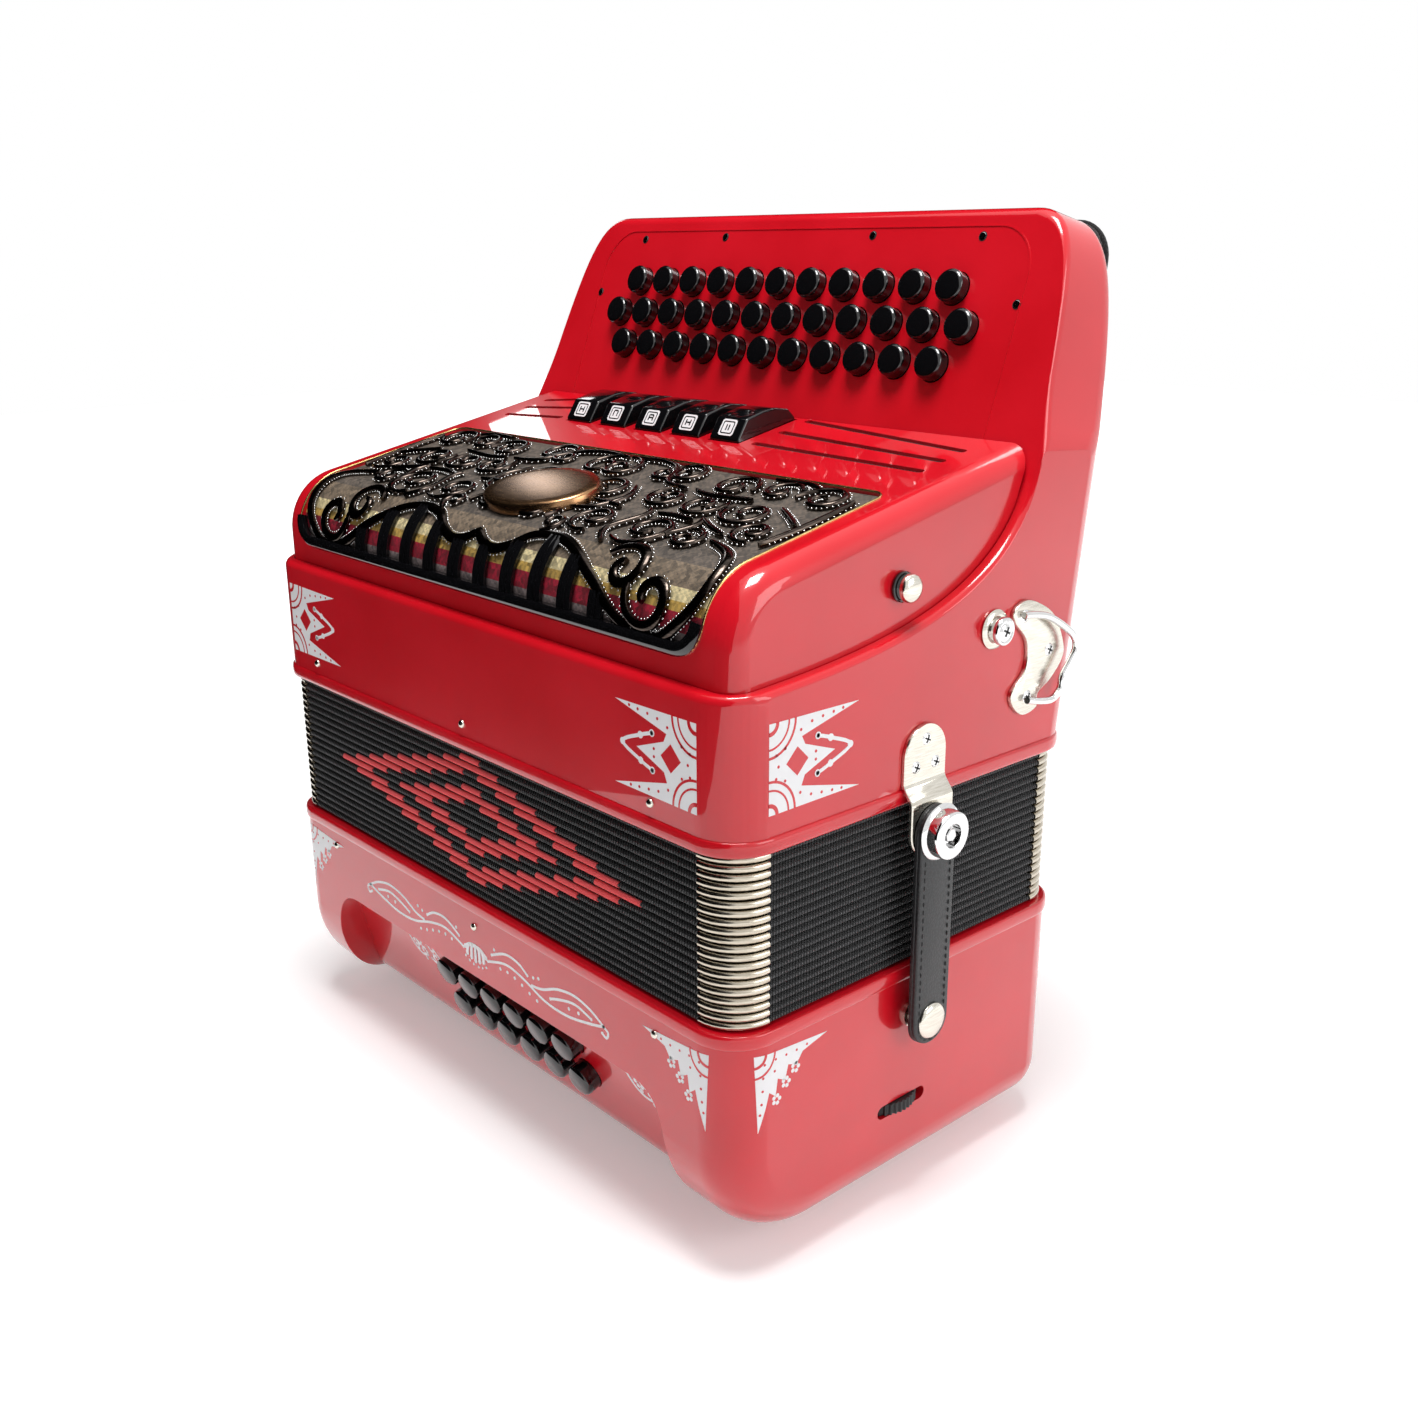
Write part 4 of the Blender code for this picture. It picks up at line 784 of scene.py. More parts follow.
def makeBassCasing():
    bm = bmesh.new()
    rings = []
    for x in mirrored([0.0] + endPositions(bass["edgeRadius"], halfLength, 12)):
        inset = min(setback(x, bass["edgeRadius"], halfLength), bass["edgeRadius"] - 0.0008)
        ring = [(x, -halfDepth + inset, bellowsBottom)]
        for radius, turn, steps in ((bass["frontRadius"], math.pi, 14),
                                    (bass["edgeRadius"], 1.5 * math.pi, 10)):
            centreY = halfDepth - radius if turn > math.pi else radius - halfDepth
            for t in spread(steps):
                angle = turn + math.pi / 2 * t
                ring.append((x, centreY + (radius - inset) * math.cos(angle),
                             bassBottom + radius + (radius - inset) * math.sin(angle)))
        ring.append((x, halfDepth - inset, bellowsBottom))
        rings.append(ring)
    loft(bm, rings)
    piece = finishPiece("bassCasing", bm, lacquer)
    bm = bmesh.new()
    rings = []
    low = bassBottom - 0.0006
    for x in mirrored([0.0] + [p[0] for p in archPoints]):
        top = max(levelAt(archPoints, x), low + 0.0004)
        levels = [top + (low - top) * t for t in spread(18)]
        rings.append([(x, -halfDepth - 0.01, top)] + [(x, recessY(max(z, bassBottom)), z) for z in levels]
                     + [(x, -halfDepth - 0.01, low)])
    loft(bm, rings)
    cut(piece, bm)

    def archRim(p, _):
        # The arch's outer edge, where the front was cut away
        reach = recessY(max(p.z, bassBottom)) - 0.0015
        return p.z > bassBottom + 0.003 and p.y < reach and abs(p.x) < 0.14

    roundEdges(piece, archRim, 0.0018)
    bm = bmesh.new()
    for _, place in bassButtonPlaces():
        buttonWell(bm, bassButtons, place, recessNormal)
    buttonWell(bm, airButton, Vector((airButton["x"], halfDepth, airButton["z"])), Vector((0, 1, 0)))
    cut(piece, bm)
    bm = bmesh.new()
    x0, x1 = -halfLength + bass["endWall"], halfLength - bass["endWall"]
    y0, y1 = -halfDepth + bass["frontWall"], halfDepth - bass["backWall"]
    chamber = ((x0, y0), (x1, y0), (x1, y1), (x0, y1))
    plate(bm, atHeight(chamber, bassBottom + bass["floor"]), (0, 0, 0.07))
    cut(piece, bm)
    bm = bmesh.new()  # the thumbwheel's round-ended slot
    slotHigh = wheel["thickness"] / 2 + 0.0005
    reach = wheel["radius"] - 0.0028 - slotHigh
    outline = []
    for side in (1, -1):
        for t in spread(8):
            angle = math.pi * t - side * math.pi / 2
            outline.append((halfLength - 0.03, wheel["y"] + side * reach + slotHigh * math.cos(angle),
                            wheel["z"] + slotHigh * math.sin(angle)))
    plate(bm, outline, (0.035, 0, 0))
    cut(piece, bm)
    polish(piece)
    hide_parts("bass_case")
    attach(piece, "bass")


makeBassCasing()
print("bass casing made")


# Rolled rims beside the bellows
rim = {"height": 0.0054, "proud": 0.0011}


def makeRim(name, low, body):
    bm = bmesh.new()
    rings = []
    middle = low + rim["height"] / 2
    for t in spread(14):
        angle = -math.pi / 2 + math.pi * t
        out = rim["proud"] * math.cos(angle) ** 0.6 if 0 < t < 1 else -0.0012
        outline = roundedRectangle(halfLength + out, halfDepth + out, casing["cornerRadius"] + out, 10)
        rings.append(atHeight(outline, middle + rim["height"] / 2 * math.sin(angle)))
    inner = roundedRectangle(halfLength - 0.004, halfDepth - 0.004, 0.014, 10)
    rings += [atHeight(inner, low + rim["height"] - 0.0002), atHeight(inner, low + 0.0002)]
    loft(bm, rings, closed=True)
    finishPiece(name, bm, lacquer, body, 50)


makeRim("trebleRim", bellowsTop, "treble")
makeRim("bassRim", bellowsBottom - rim["height"], "bass")


# Bellows: folded cloth on card, corner protectors, woven diamonds on the fold tips
bellows = {"folds": 20, "foldDepth": 0.0045, "inset": 0.0022, "corner": 0.0165, "wall": 0.011,
           "protectorLeg": 0.0167, "protectorProud": 0.0006}
foldPitch = (bellowsTop - bellowsBottom - 2 * gap) / bellows["folds"]
# One fold from valley to tip and back, as (share of its height, share of its depth)
foldShape = ((0.0, 1.0), (0.10, 0.62), (0.17, 0.27), (0.24, 0.10), (0.36, 0.012), (0.5, 0.0))
foldShape += tuple((1 - t, d) for t, d in reversed(foldShape[1:-1]))
bellowsHalfX, bellowsHalfY = halfLength - bellows["inset"], halfDepth - bellows["inset"]


def blendBellows(piece):
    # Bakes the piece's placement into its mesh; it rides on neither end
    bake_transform(piece)


def makeBellows():
    low = bellowsBottom + gap
    rings = []
    for fold in range(bellows["folds"]):
        for t, depth in foldShape:
            rings.append((low + (fold + t) * foldPitch, depth * bellows["foldDepth"]))
    rings.append((bellowsTop - gap, bellows["foldDepth"]))
    bm = bmesh.new()
    outer = [atHeight(roundedRectangle(bellowsHalfX - d, bellowsHalfY - d, bellows["corner"] - d, 8), z)
             for z, d in rings]
    wall = bellows["wall"]
    inner = roundedRectangle(bellowsHalfX - wall, bellowsHalfY - wall, 0.009, 8)
    loft(bm, outer + [atHeight(inner, bellowsTop - gap), atHeight(inner, low)], closed=True)
    piece = finishPiece("bellowsCloth", bm, bellowsCloth, angle=60)
    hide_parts("bellows")
    blendBellows(piece)


def makeProtectors():
    # One bead of pressed sheet per fold, bent round each corner
    bm = bmesh.new()
    proud = bellows["protectorProud"]
    radius = bellows["corner"] + proud
    leg = bellows["protectorLeg"]
    path = [(bellowsHalfX + proud, bellowsHalfY - leg, 1, 0)]
    for t in spread(9):
        a = math.pi / 2 * t
        path.append((bellowsHalfX - bellows["corner"] + radius * math.cos(a),
                     bellowsHalfY - bellows["corner"] + radius * math.sin(a), math.cos(a), math.sin(a)))
    path.append((bellowsHalfX - leg, bellowsHalfY + proud, 0, 1))
    section = [(-0.0030, -0.00125), (-0.0012, -0.00132)]
    section += [(-0.0012 + 0.0012 * math.cos(a), 0.00132 * math.sin(a))
                for a in [-math.pi / 2 + math.pi * t for t in spread(8)[1:-1]]]
    section += [(-0.0012, 0.00132), (-0.0030, 0.00125)]
    rings = [[(x + nx * out, y + ny * out, rise) for out, rise in section] for x, y, nx, ny in path]
    loft(bm, rings)
    bead = bm.verts[:] + bm.edges[:] + bm.faces[:]
    for fold in range(1, bellows["folds"]):
        copyShape(bm, bead, move=(0, 0, fold * foldPitch))
    bmesh.ops.translate(bm, verts=bm.verts, vec=(0, 0, bellowsBottom + gap + foldPitch / 2))
    for flip in ((-1, 1, 1), (1, -1, 1)):
        copyShape(bm, bm.verts[:] + bm.edges[:] + bm.faces[:], flip=flip)
    blendBellows(finishPiece("bellowsProtectors", bm, cornerNickel, angle=50))


motif = {"rows": 8, "step": 0.01235, "outer": (0.0795, 0.1055), "inner": (0.0305, 0.0560),
         "middleFold": 10, "shortest": 0.004}


def motifStrips():
    # (first x, last x, fold) of every red strip; the same on both sides of the middle
    for fold in range(-motif["rows"], motif["rows"] + 1):
        for start, end in (motif["outer"], motif["inner"]):
            first, last = start - motif["step"] * abs(fold), end - motif["step"] * abs(fold)
            if last <= motif["shortest"]:
                continue
            if first <= 0.0:
                yield -last, last, motif["middleFold"] + fold
            else:
                yield first, last, motif["middleFold"] + fold
                yield -last, -first, motif["middleFold"] + fold


def makeMotif():
    bm = bmesh.new()
    for first, last, fold in motifStrips():
        middle = bellowsBottom + gap + (fold + 0.5) * foldPitch
        section = [(-bellowsHalfY + 0.0011 - 0.0014 * math.cos(a), 0.00135 * math.sin(a))
                   for a in [-1.25 + 2.5 * t for t in spread(8)]]
        section += [(y + 0.0007, z * 0.8) for y, z in reversed(section)]
        loft(bm, [[(x, y, middle + z) for y, z in section] for x in (first, last)])
    blendBellows(finishPiece("bellowsMotif", bm, motifCloth, angle=50))


makeBellows()
makeProtectors()
makeMotif()
print("bellows made")


# Buttons and switches, one finer piece for each
def makeButtons():
    # Flat caps with a rounded rim on the treble side, domed caps on the bass side
    r, h, stem = (trebleButtons[key] for key in ("radius", "height", "stem"))
    flatCap = ((0, h - 0.0001), (r - 0.0015, h - 0.0001), (r - 0.0011, h - 0.0002), (r - 0.0005, h - 0.00055),
               (r - 0.0001, h - 0.0011), (r, h - 0.0018), (r, -stem), (0, -stem))
    r, h, stem = (bassButtons[key] for key in ("radius", "height", "stem"))
    domedCap = ((0, h + 0.0004), (r * 0.4, h + 0.0003), (r * 0.75, h - 0.0001), (r - 0.0007, h - 0.0006),
                (r - 0.0002, h - 0.0011), (r, h - 0.0018), (r, -stem), (0, -stem))
    for places, profile, normal in ((trebleButtonPlaces(), flatCap, boardNormal),
                                    (bassButtonPlaces(), domedCap, recessNormal)):
        for name, place in places:
            bm = bmesh.new()
            turned(bm, profile, place, normal, 36)
            piece = finishPiece("dressed_" + name, bm, gloss, name, 40)
            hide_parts(name)


def makeSwitches():
    middle = (switches["frontY"] + switches["backY"]) / 2
    front, back, high = switches["frontY"], switches["backY"], switches["height"]
    foot = -switches["depth"]
    shape = ((front, foot), (front, 0.0012), (front + 0.0065, high - 0.0005), (middle, high),
             (back - 0.0105, high - 0.0005), (back - 0.003, 0.0055), (back, 0.0012), (back, foot))
    half = switches["width"] / 2
    for i in range(switches["count"]):
        bm = bmesh.new()
        outline = [overPanel(switchX(i) - half, y, rise) for y, rise in shape]
        plate(bm, outline, (2 * half, 0, 0))
        bmesh.ops.recalc_face_normals(bm, faces=bm.faces)
        bmesh.ops.bevel(bm, geom=bm.edges[:], offset=0.0009, offset_type="OFFSET", segments=3, profile=0.5,
                        affect="EDGES", material=-1, clamp_overlap=True)
        name = f"register_switch_{i + 1}"
        piece = finishPiece("dressed_" + name, bm, gloss, name, 50)
        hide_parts(name)


makeButtons()
makeSwitches()
print("buttons and switches made")


# Grille: lining cloth, scrollwork with beaded edges, bars, bottom rail, piping, badge
scrollwork = {"rise": 0.0012, "sink": 0.0007, "thinWidth": 0.0026, "boldWidth": 0.0040, "barWidth": 0.0078,
              "barPitch": 0.0178, "barCount": 10, "beadRadius": 0.00042, "beadPitch": 0.0013,
              "badgeHalf": (0.027, 0.021), "badgeAt": 0.050, "badgeRise": 0.0042}
# Drawn for one half as (x, s) in millimetres; the other half mirrors them
archLine = ((0, 82.5), (7, 86.5), (15, 87.5), (24, 84), (31, 79), (38, 77), (46, 76.8), (54, 78.5), (62, 82),
            (70, 86.5), (78, 91), (86, 96.5), (92, 100), (98, 102.5))
outerLeaf = ((98, 104), (106, 104.5), (114, 103), (121, 98), (127, 91.5), (130, 84), (129.5, 74), (125, 67),
             (118, 63), (110, 60.5))
# Spirals: centre x, centre s, radius, starting angle in degrees, turns, bold band or not
volutes = ((88, 82.5, 11.5, 200, 1.15, True), (106, 90.5, 13, -150, -1.2, True), (5, 15, 11, 250, 1.2, False),
           (22, 36, 12, 150, 1.25, False), (15, 64, 11, 20, -1.2, False), (57, 34, 10, 230, -1.25, False),
           (77, 35, 10.5, -40, 1.25, False), (101, 35, 11.5, 200, -1.3, False), (117, 48, 9, 60, 1.25, False),
           (73, 15, 11, 10, -1.25, False), (117, 14, 11.5, 170, 1.25, False), (77, 61, 13, 130, -1.35, False),
           (47, 61, 11, 60, 1.3, False), (42, 11, 10, 190, 1.2, False), (95, 13, 9, -20, -1.1, False),
           (32, 14, 7, 300, 1.1, False), (98, 62, 8, -120, 1.15, False), (33, 70, 6, 90, -1.1, False))
links = (((5, 4), (20, 3), (33, 8), (42, 21), (56, 24)), ((34, 30), (40, 40), (36, 52), (27, 56)),
         ((62, 24), (70, 26), (84, 25), (92, 24)), ((84, 4), (100, 3), (108, 6)),
         ((90, 46), (98, 50), (108, 54)), ((62, 46), (64, 52), (60, 66), (66, 74)),
         ((88, 62), (92, 52), (90, 46)), ((110, 27), (120, 33), (127, 38)),
         ((130, 12), (131, 28), (130, 44), (128, 56)), ((28, 47), (38, 47), (46, 48)),
         ((68, 48), (76, 47), (86, 48)))


def smoothPath(points, steps):
    # Catmull-Rom curve through the points
    points = [Vector(p) for p in points]
    path = []
    for i in range(len(points) - 1):
        a, b = points[max(i - 1, 0)], points[i]
        c, d = points[i + 1], points[min(i + 2, len(points) - 1)]
        for t in spread(steps)[:-1]:
            path.append(0.5 * (2 * b + (c - a) * t + (2 * a - 5 * b + 4 * c - d) * t * t
                               + (3 * b - a - 3 * c + d) * t ** 3))
    return path + [points[-1]]


def volutePath(x, s, radius, start, turns, steps=34):
    # Spiral that winds in to about a fifth of its radius
    path = []
    for t in spread(steps):
        angle = math.radians(start) + 2 * math.pi * turns * t
        size = radius * (1 - 0.78 * t ** 0.9)
        path.append(Vector((x + size * math.cos(angle), s + size * math.sin(angle))))
    return path


def scrollPaths():
    # Every scroll as (path in metres, width, tapered ends)
    thin, bold = scrollwork["thinWidth"], scrollwork["boldWidth"]
    half = smoothPath(archLine, 5)
    arch = [Vector((-p.x, p.y)) for p in reversed(half)][:-1] + half
    drawn = [(arch, bold, False)]
    for side in (-1, 1):
        for points in (outerLeaf,) + links:
            drawn.append(([Vector((side * p.x, p.y)) for p in smoothPath(points, 6)],
                          bold if points is outerLeaf else thin, True))
        for x, s, radius, start, turns, heavy in volutes:
            path = volutePath(x, s, radius, start, turns)
            drawn.append(([Vector((side * p.x, p.y)) for p in path], bold if heavy else thin, True))
    for path, width, tapered in drawn:
        inside = [p / 1000 for p in path]
        for p in inside:
            p.y = min(max(p.y, 0.0022), windowLength - 0.003)
            reach = windowReach(p.y, 0.0022)
            p.x = min(max(p.x, -reach), reach)
        yield spaced(inside, 0.00035), width, tapered


def acrossAt(path, i):
    # Unit vector square to a flat path at its point i
    ahead = (path[min(i + 1, len(path) - 1)] - path[max(i - 1, 0)]).normalized()
    return Vector((-ahead.y, ahead.x))


def scrollRibbon(bm, path, width, tapered, level):
    rise, sink = scrollwork["rise"] + level, scrollwork["sink"]
    section = ((-0.5, -sink), (-0.5, rise * 0.5), (-0.34, rise * 0.92), (0.0, rise * 1.1),
               (0.34, rise * 0.92), (0.5, rise * 0.5), (0.5, -sink))
    rings = []
    for i, p in enumerate(path):
        share = i / (len(path) - 1)
        size = width * (0.45 + 0.55 * math.sin(math.pi * share) ** 0.5 if tapered else 1.0)
        across = acrossAt(path, i) * size
        rings.append([overCover(p.x + across.x * u, p.y + across.y * u, v) for u, v in section])
    loft(bm, rings)


def makeScrollwork():
    bm = bmesh.new()
    beads = bmesh.new()
    for order, (path, width, tapered) in enumerate(scrollPaths()):
        scrollRibbon(bm, path, width, tapered, 0.00002 * (order % 7))  # crossing bands differ in height
        for side in (-1, 1):
            run = 0.0
            for i, p in enumerate(path[:-1]):
                run += (path[i + 1] - p).length
                if run < scrollwork["beadPitch"]:
                    continue
                run = 0.0
                spot = p + acrossAt(path, i) * side * (width / 2 + 0.0005)
                if abs(spot.x) < windowReach(spot.y, 0.001) and 0.001 < spot.y < windowLength - 0.002:
                    bmesh.ops.create_icosphere(beads, subdivisions=1, radius=scrollwork["beadRadius"],
                                               matrix=Matrix.Translation(overCover(spot.x, spot.y, 0.0)))
    finishPiece("grilleScrollwork", bm, gunmetal, "treble", 40)
    finishPiece("grilleBeading", beads, chrome, "treble", 60, merge=0)


def makeBars():
    # Moulded bars from the arch down to the rail, each with three fine ridges
    bm = bmesh.new()
    half = scrollwork["barWidth"] / 2
    section = [(-half, -0.0006), (-half, 0.0006)]
    for k in range(12):
        u = -half * 0.86 + 2 * half * 0.86 * k / 11
        section.append((u, 0.0013 + 0.00028 * math.cos(k * math.pi * 6 / 11 + math.pi)))
    section += [(half, 0.0006), (half, -0.0006)]
    arch = [tuple(p / 1000) for p in smoothPath(archLine, 5)]
    for i in range(scrollwork["barCount"]):
        x = (i - (scrollwork["barCount"] - 1) / 2) * scrollwork["barPitch"]
        start = levelAt(arch, x) + 0.0005
        rows = [start + (windowLength - 0.003 - start) * t for t in spread(9)]
        loft(bm, [[overCover(x + u, s, v) for u, v in section] for s in rows])
    finishPiece("grilleBars", bm, gloss, "treble", 40)


def makeRail():
    # Along the window's lower edge, following its corners
    bm = bmesh.new()
    section = ((-0.0028, -0.0008), (-0.0028, 0.0012), (-0.0016, 0.0022), (0.0008, 0.0023), (0.0021, 0.0014),
               (0.0022, -0.0008))
    inset = 0.0022
    low, radius = windowLength - inset, grille["lowRadius"] - inset
    reach = grille["half"] - inset
    path = [((reach - radius) * (2 * t - 1), low) for t in spread(30)]
    for t in spread(7)[1:]:
        angle = math.pi / 2 * t
        path.append((reach - radius + radius * math.sin(angle), low - radius * (1 - math.cos(angle))))
        path.insert(0, (-path[-1][0], path[-1][1]))
    path = [Vector(p) for p in path]
    rings = []
    for i, p in enumerate(path):
        across = acrossAt(path, i)
        rings.append([overCover(p.x - across.x * u, p.y - across.y * u, v) for u, v in section])
    loft(bm, rings)
    finishPiece("grilleRail", bm, gloss, "treble", 40)


def makePiping():
    # Thin gilt bead where the window's rim meets the lining
    rows = windowRows(-0.0002, 30)
    side = [(windowReach(s, -0.0002), s) for s in rows]
    loop = side + [(-x, s) for x, s in reversed(side)]
    bm = bmesh.new()
    path = spaced([overCover(x, s, 0.0001) for x, s in loop], 0.0004)
    tube(bm, path, 0.00042, 8, closed=True, up=(0, -0.5, 1))
    finishPiece("grillePiping", bm, gilt, "treble", 60)


lining = {"over": 0.0035, "level": -0.0012, "turnedLevel": -0.0034}  # turned under the rim all round


def makeLining():
    # Woven cloth stretched behind the scrollwork
    over, level, turnedLevel = (lining[key] for key in ("over", "level", "turnedLevel"))
    half = grille["half"] + over
    bm = bmesh.new()
    loops = []
    for s in [-over + (windowLength + 2 * over) * t for t in spread(56)]:
        line = []
        for u in [2 * t - 1 for t in spread(60)]:
            outside = abs(u) > 0.98 or s < 0.0 or s > windowLength
            line.append(bm.verts.new(overCover(half * u, s, turnedLevel if outside else level)))
        loops.append([bm.edges.new(pair) for pair in zip(line, line[1:])])
    for low, high in zip(loops, loops[1:]):
        bmesh.ops.bridge_loops(bm, edges=low + high)
    piece = finishPiece("grilleCloth", bm, liningCloth, "treble", 60)


def makeBadge():
    # Plain oval plate, domed, polished bronze
    halfX, halfS = scrollwork["badgeHalf"]
    at, rise = scrollwork["badgeAt"], scrollwork["badgeRise"]
    bm = bmesh.new()
    rings = []
    for size, height in ((1.0, -0.0006), (1.0, rise - 0.0016), (0.985, rise - 0.0009),
                         (0.95, rise - 0.0005), (0.8, rise - 0.0002), (0.6, rise + 0.0001),
                         (0.35, rise + 0.0003), (0.02, rise + 0.0004)):
        rings.append([overCover(halfX * size * math.cos(a), at + halfS * size * math.sin(a), height)
                      for a in [2 * math.pi * k / 72 for k in range(72)]])
    loft(bm, rings)
    finishPiece("grilleBadge", bm, bronze, "treble", 40)


def makeSlotMesh():
    # Dark perforated sheet behind the sound slots; its holes are painted dots of shade
    bm = bmesh.new()
    for low, high in ((switchX(switches["count"] - 1) + 0.012, coverHalf - 0.016),
                      (-(coverHalf - 0.016), switchX(0) - 0.012)):
        corners = ((low, 0.0205), (high, 0.0190), (high, 0.0500), (low, 0.0610))
        thickness = overPanel(0, 0, 0.0008) - overPanel(0, 0, 0)
        plate(bm, [overPanel(x, y, -0.0020) for x, y in corners], thickness)
    finishPiece("slotMesh", bm, perforatedMesh, "treble", 30)


labels = {
    "patch": (0.0043, 0.0036, 0.0012),  # half width, half height, corner radius
    "outer": (0.0034, 0.0028, 0.0009),
    "inner": (0.0029, 0.0023, 0.0006),
    "reach": 0.0013,
    "strokeHalf": 0.00033,
    # The strokes of each mark, from (x, height) to (x, height) in reaches
    "marks": (((-1, -1, -1, 1), (1, -1, 1, 1), (-1, 0, 1, 0)),
              ((-1, -1, -1, 1), (-1, 1, 1, 1), (1, -1, 1, 1)),
              ((-1, -1, -1, 1), (1, -1, 1, 1), (-1, 1, 1, 1), (-1, 0, 1, 0)),
              ((-1, -1, -1, 1), (1, -1, 1, 1), (-1, 0, 1, 0)),
              ((-0.6, -1, -0.6, 1), (0.6, -1, 0.6, 1))),
}


def makeLabels():
    # Generic white key marks on the front slope of each switch: a rounded square with strokes
    foot = Vector((0, switches["frontY"], 0.0012))
    head = Vector((0, switches["frontY"] + 0.0065, switches["height"] - 0.0005))
    slope = (head - foot).normalized()
    out = Vector((0, -slope.z, slope.y))
    middle = foot.lerp(head, 0.52)

    def place(x, u, v, rise):
        spot = middle + slope * v + out * rise
        return overPanel(x + u, spot.y, spot.z)

    def printed(bm, x, outline, rise, thickness):
        plate(bm, [place(x, u, v, rise) for u, v in outline], place(x, 0, 0, thickness) - place(x, 0, 0, 0))

    outer, inner = roundedRectangle(*labels["outer"], 5), roundedRectangle(*labels["inner"], 5)
    for i in range(switches["count"]):
        x = switchX(i)
        body = f"register_switch_{i + 1}"
        bm = bmesh.new()
        printed(bm, x, roundedRectangle(*labels["patch"], 5), 0.00002, 0.0001)
        finishPiece(f"labelPatch{i + 1}", bm, enamelWhite, body, 30)
        bm = bmesh.new()
        for corners in zip(outer, outer[1:] + outer[:1], inner[1:] + inner[:1], inner):
            printed(bm, x, corners, 0.00012, 0.00005)
        for x0, v0, x1, v1 in labels["marks"][i]:
            start, end = Vector((x0, v0)) * labels["reach"], Vector((x1, v1)) * labels["reach"]
            side = Vector((-(end - start).y, (end - start).x)).normalized() * labels["strokeHalf"]
            printed(bm, x, (start - side, end - side, end + side, start + side), 0.00012, 0.00005)
        finishPiece(f"labelMark{i + 1}", bm, gloss, body, 30)


makeScrollwork()
makeBars()
makeRail()
makePiping()
makeLining()
makeBadge()
makeSlotMesh()
makeLabels()
print("grille made")


# Hardware on the two ends: strap plates, pivots, studs, strap rings, thumbscrews
strap = {"width": 0.019, "inner": halfLength + 0.006, "thickness": 0.003, "pivotZ": bellowsTop - 0.010,
         "snapZ": bellowsTop - 0.085, "stitchInset": 0.0026, "stitch": 0.0021, "stitchPitch": 0.0031}
# Places on the ends are (y, height over bellowsTop)
hardware = {"plateThickness": 0.0015, "plateHalf": 0.011, "plateTop": 0.028,
            "park": (0.037, 0.0552), "thumbscrew": (-0.008, 0.0770), "ringRod": 0.0014,
            "plateScrews": ((0.0, 0.0225), (-0.0052, 0.0130), (0.0052, 0.0130)),
            "ringScrews": ((0.0530, 0.0575), (0.0690, 0.0420), (0.0570, 0.0260)),
            "ringPlate": ((.0614, .0612), (.0715, .0549), (.0782, .0432), (.0779, .0366), (.0710, .0299),
                          (.0640, .0260), (.0635, .0207), (.0552, .0191), (.0486, .0239), (.0477, .0293),
                          (.0546, .0358), (.0561, .0420), (.0544, .0488), (.0476, .0558), (.0468, .0604),
                          (.0530, .0634)),
            "ring": ((.0500, .0586), (.0560, .0580), (.0640, .0560), (.0723, .0515), (.0794, .0463),
                     (.0815, .0413), (.0784, .0359), (.0745, .0310), (.0735, .0262), (.0690, .0232),
                     (.0620, .0238), (.0545, .0255))}


def closedPath(points, steps):
    # Smooth closed curve through the points
    count = len(points)
    wrapped = [points[(i - 1) % count] for i in range(count + 3)]
    whole = smoothPath(wrapped, steps)
    return whole[steps:steps * (count + 1)]


def screwHead(bm, slots, centre, direction, radius):
    # Domed countersunk head; its cross recess is not cut but drawn as two dark bars just proud of the dome,
    # painted shade of the recess
    shares = ((0, 0.30), (0.45, 0.29), (0.8, 0.2), (1, 0.0), (1, -0.3), (0, -0.3))
    turned(bm, [(radius * r, radius * h) for r, h in shares], centre, direction, 24)
    centre, axis = Vector(centre), Vector(direction).normalized()
    side = axis.orthogonal().normalized()
    for turn in (0.35, 0.35 + math.pi / 2):
        along = Matrix.Rotation(turn, 3, axis) @ side
        wide = axis.cross(along)
        corners = [centre + along * u * radius * 0.6 + wide * v * radius * 0.13 + axis * radius * 0.2
                   for u, v in ((-1, -1), (1, -1), (1, 1), (-1, 1))]
        plate(slots, corners, axis * radius * 0.13)


def strapPlateRings(side):
    # Round top, a step outwards over the rim, round foot behind the strap
    half, top, thick = hardware["plateHalf"], hardware["plateTop"], hardware["plateThickness"]
    stepTop, stepHigh, foot = 0.0080, 0.0075, -0.010
    inner = halfLength + 0.0001
    rows = [top - half + half * math.cos(math.pi / 2 * t) for t in spread(9)]
    rows += [top - half - 0.002, stepTop + 0.0005] + [stepTop - stepHigh * t for t in spread(10)]
    rows += [-0.002, foot] + [foot - half * math.sin(math.pi / 2 * t) for t in spread(9)[1:]]
    for z in rows:
        over = max(z - (top - half), foot - z, 0.0)
        reach = math.sqrt(max(half ** 2 - over ** 2, 0.0)) or 0.0004
        t = min(max((stepTop - z) / stepHigh, 0.0), 1.0)
        x = inner + (strap["inner"] - 0.0003 - thick - inner) * t * t * (3 - 2 * t)
        edge = min(0.0004, reach * 0.5)
        section = ((0, -reach), (thick - edge, -reach), (thick, -reach + edge), (thick, reach - edge),
                   (thick - edge, reach), (0, reach))
        yield [(side * (x + u), v, bellowsTop + z) for u, v in section]


